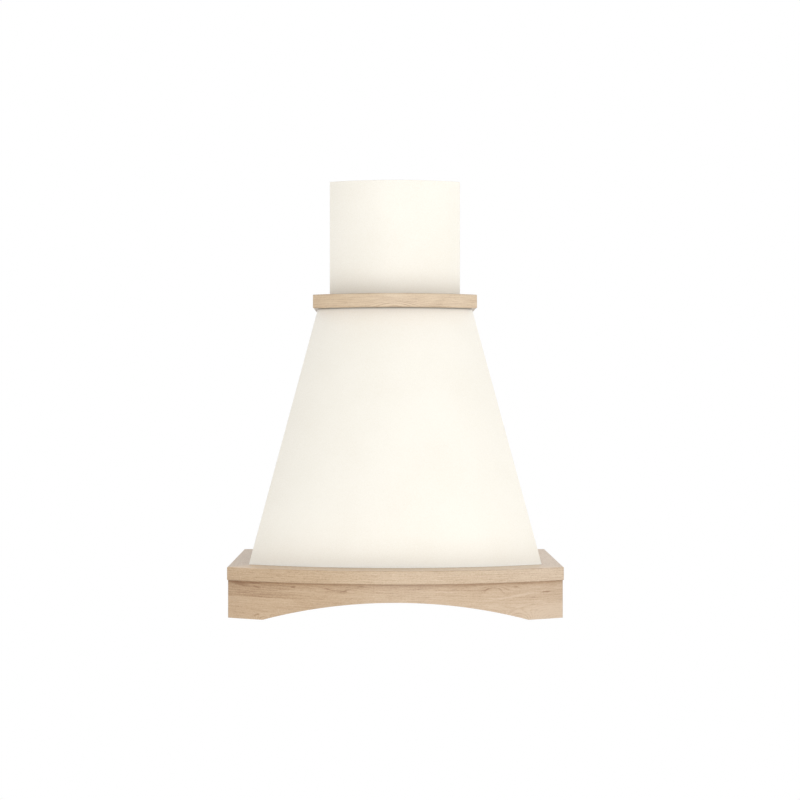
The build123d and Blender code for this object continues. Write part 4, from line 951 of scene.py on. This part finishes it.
def motor():
    """Can with cooling ribs on both sides of its flange, a rounded end and the shaft's bore."""
    low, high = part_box("motor")
    middle = middle_of("motor")
    rim, length = (high.y - low.y) / 2, high.x - low.x
    near, far = MOTOR_FLANGE
    head, front, back, tail = MOTOR_MARGINS
    rows = [(SMALL, MOTOR_BORE_DEPTH), (MOTOR_BORE, MOTOR_BORE_DEPTH), (MOTOR_BORE, 0.0)]
    rows += [(MOTOR_BODY - MOTOR_EASE, 0.0), (MOTOR_BODY, MOTOR_EASE)]
    for start, end in ((head, near - front), (far + back, length - tail)):
        for i in range(int((end - start) / RIB_PITCH)):
            level = start + i * RIB_PITCH
            rows += [(MOTOR_BODY + out, level + step) for out, step in MOTOR_GROOVE]
        if end < near:
            rows += [(MOTOR_BODY, near), (rim, near), (rim, far), (MOTOR_BODY, far)]
    rows += [(MOTOR_BODY + out, length + step) for out, step in MOTOR_END]
    outer, inner, depth = MOTOR_DISH
    rows += [(outer, length), (inner, length - depth), (SMALL, length - depth)]
    return [turned((low.x, middle.y, middle.z), "X", rows, around=FINE_ROUND)]


def make_small_parts():
    """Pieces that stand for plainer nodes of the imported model."""
    aluminium = brushed("mesh_aluminium", ALUMINIUM, "X", 700.0, 0.42)
    zinc = brushed("screw_zinc", ZINC, "Z", 500.0, 0.36)
    chrome = cast("satin_chrome", CHROME, 2200.0, 0.20, 0.00002, metallic=1.0)
    gloss = cast("gloss_button", GLOSS_BLACK, 3000.0, 0.22, 0.00001)
    for side in ("left", "right"):
        mesh, bezel, lens = "filter_mesh_" + side, "lamp_bezel_" + side, "lamp_lens_" + side
        piece(mesh, filter_core(mesh), aluminium)
        piece(bezel, lamp_bezel(bezel), chrome)
        piece(lens, lamp_lens(lens), frosted("frosted_" + side, middle_of(lens)))
    for number in range(1, 6):
        node = f"push_button_{number}"
        piece(node, push_button(node), gloss)
    piece("insert_screws", insert_screws(), zinc)
    piece("cable_gland", cable_gland(), cast("gland_plastic", BLACK, 1400.0, 0.50))
    piece("motor", motor(), cast("motor_paint", MOTOR_GREY, 700.0, 0.45, metallic=0.3))


# ---- Studio ------------------------------------------------------------------------------------------
def seen_plainly(nodes, links):
    """1 for rays from the camera, from gloss and through glass."""
    path = nodes.new("ShaderNodeLightPath")
    total = path.outputs["Is Camera Ray"]
    for name in ("Is Glossy Ray", "Is Transmission Ray"):
        either = nodes.new("ShaderNodeMath")
        either.operation = "MAXIMUM"
        links.new(total, either.inputs[0])
        links.new(path.outputs[name], either.inputs[1])
        total = either.outputs[0]
    return total


def make_world():
    """Surround that looks plain white and lights the cover a little unevenly."""
    world = bpy.data.worlds.new("studio")
    bpy.context.scene.world = world
    world.use_nodes = True
    nodes, links = world.node_tree.nodes, world.node_tree.links
    nodes.clear()
    light = nodes.new("ShaderNodeBackground")
    light.inputs["Color"].default_value = WHITE
    place = nodes.new("ShaderNodeTexCoord")
    lean = nodes.new("ShaderNodeVectorMath")
    lean.operation = "DOT_PRODUCT"
    lean.inputs[1].default_value = WORLD_LEAN
    total = nodes.new("ShaderNodeMath")
    total.inputs[1].default_value = WORLD_LIGHT
    links.new(place.outputs["Generated"], lean.inputs[0])
    links.new(lean.outputs["Value"], total.inputs[0])
    links.new(total.outputs[0], light.inputs["Strength"])
    white = nodes.new("ShaderNodeBackground")
    white.inputs["Color"].default_value = WHITE
    mix = nodes.new("ShaderNodeMixShader")
    output = nodes.new("ShaderNodeOutputWorld")
    links.new(seen_plainly(nodes, links), mix.inputs[0])
    links.new(light.outputs[0], mix.inputs[1])
    links.new(white.outputs[0], mix.inputs[2])
    links.new(mix.outputs[0], output.inputs["Surface"])


def make_floor():
    """Matt floor far below, lifted to white in view without lighting the cover more."""
    bpy.ops.mesh.primitive_circle_add(
        vertices=128, radius=FLOOR_RADIUS, fill_type="NGON", location=(0.0, 0.0, FLOOR_HEIGHT)
    )
    floor = bpy.context.object
    floor.name = "floor"
    material = bpy.data.materials.new("pale_floor")
    material.use_nodes = True
    nodes, links = material.node_tree.nodes, material.node_tree.links
    nodes.clear()
    matt = nodes.new("ShaderNodeBsdfDiffuse")
    matt.inputs["Color"].default_value = FLOOR_COLOUR
    lift = nodes.new("ShaderNodeEmission")
    strength = nodes.new("ShaderNodeMath")
    strength.operation = "MULTIPLY"
    strength.inputs[1].default_value = FLOOR_LIFT
    total = nodes.new("ShaderNodeAddShader")
    output = nodes.new("ShaderNodeOutputMaterial")
    links.new(seen_plainly(nodes, links), strength.inputs[0])
    links.new(strength.outputs[0], lift.inputs["Strength"])
    links.new(matt.outputs[0], total.inputs[0])
    links.new(lift.outputs[0], total.inputs[1])
    links.new(total.outputs[0], output.inputs["Surface"])
    floor.data.materials.append(material)


def make_lamps():
    """Round soft lamps, aimed at the middle of the cover."""
    for name, place, size, power in LAMPS:
        data = bpy.data.lights.new(name, "AREA")
        data.shape = "DISK"
        data.size = size
        data.energy = power
        lamp = bpy.data.objects.new(name, data)
        lamp.location = place
        aim = Vector(LAMP_AIM) - Vector(place)
        lamp.rotation_euler = aim.to_track_quat("-Z", "Y").to_euler()
        bpy.context.scene.collection.objects.link(lamp)


def make_camera():
    """Level camera in front of the cover, at the photograph's eye level."""
    data = bpy.data.cameras.new("camera")
    data.lens = CAMERA_LENS
    data.shift_x, data.shift_y = CAMERA_SHIFT
    data.clip_start = 0.05
    camera = bpy.data.objects.new("camera", data)
    camera.location = CAMERA_PLACE
    camera.rotation_euler = (math.pi / 2, 0.0, 0.0)
    bpy.context.scene.collection.objects.link(camera)
    bpy.context.scene.camera = camera


make_camera()
make_world()
make_floor()
make_lamps()
bpy.context.scene.view_settings.view_transform = "Standard"
dress_mantel()
dress_apron()
dress_neck_band()
dress_carcass()
dress_paint()
dress_insert()
make_small_parts()
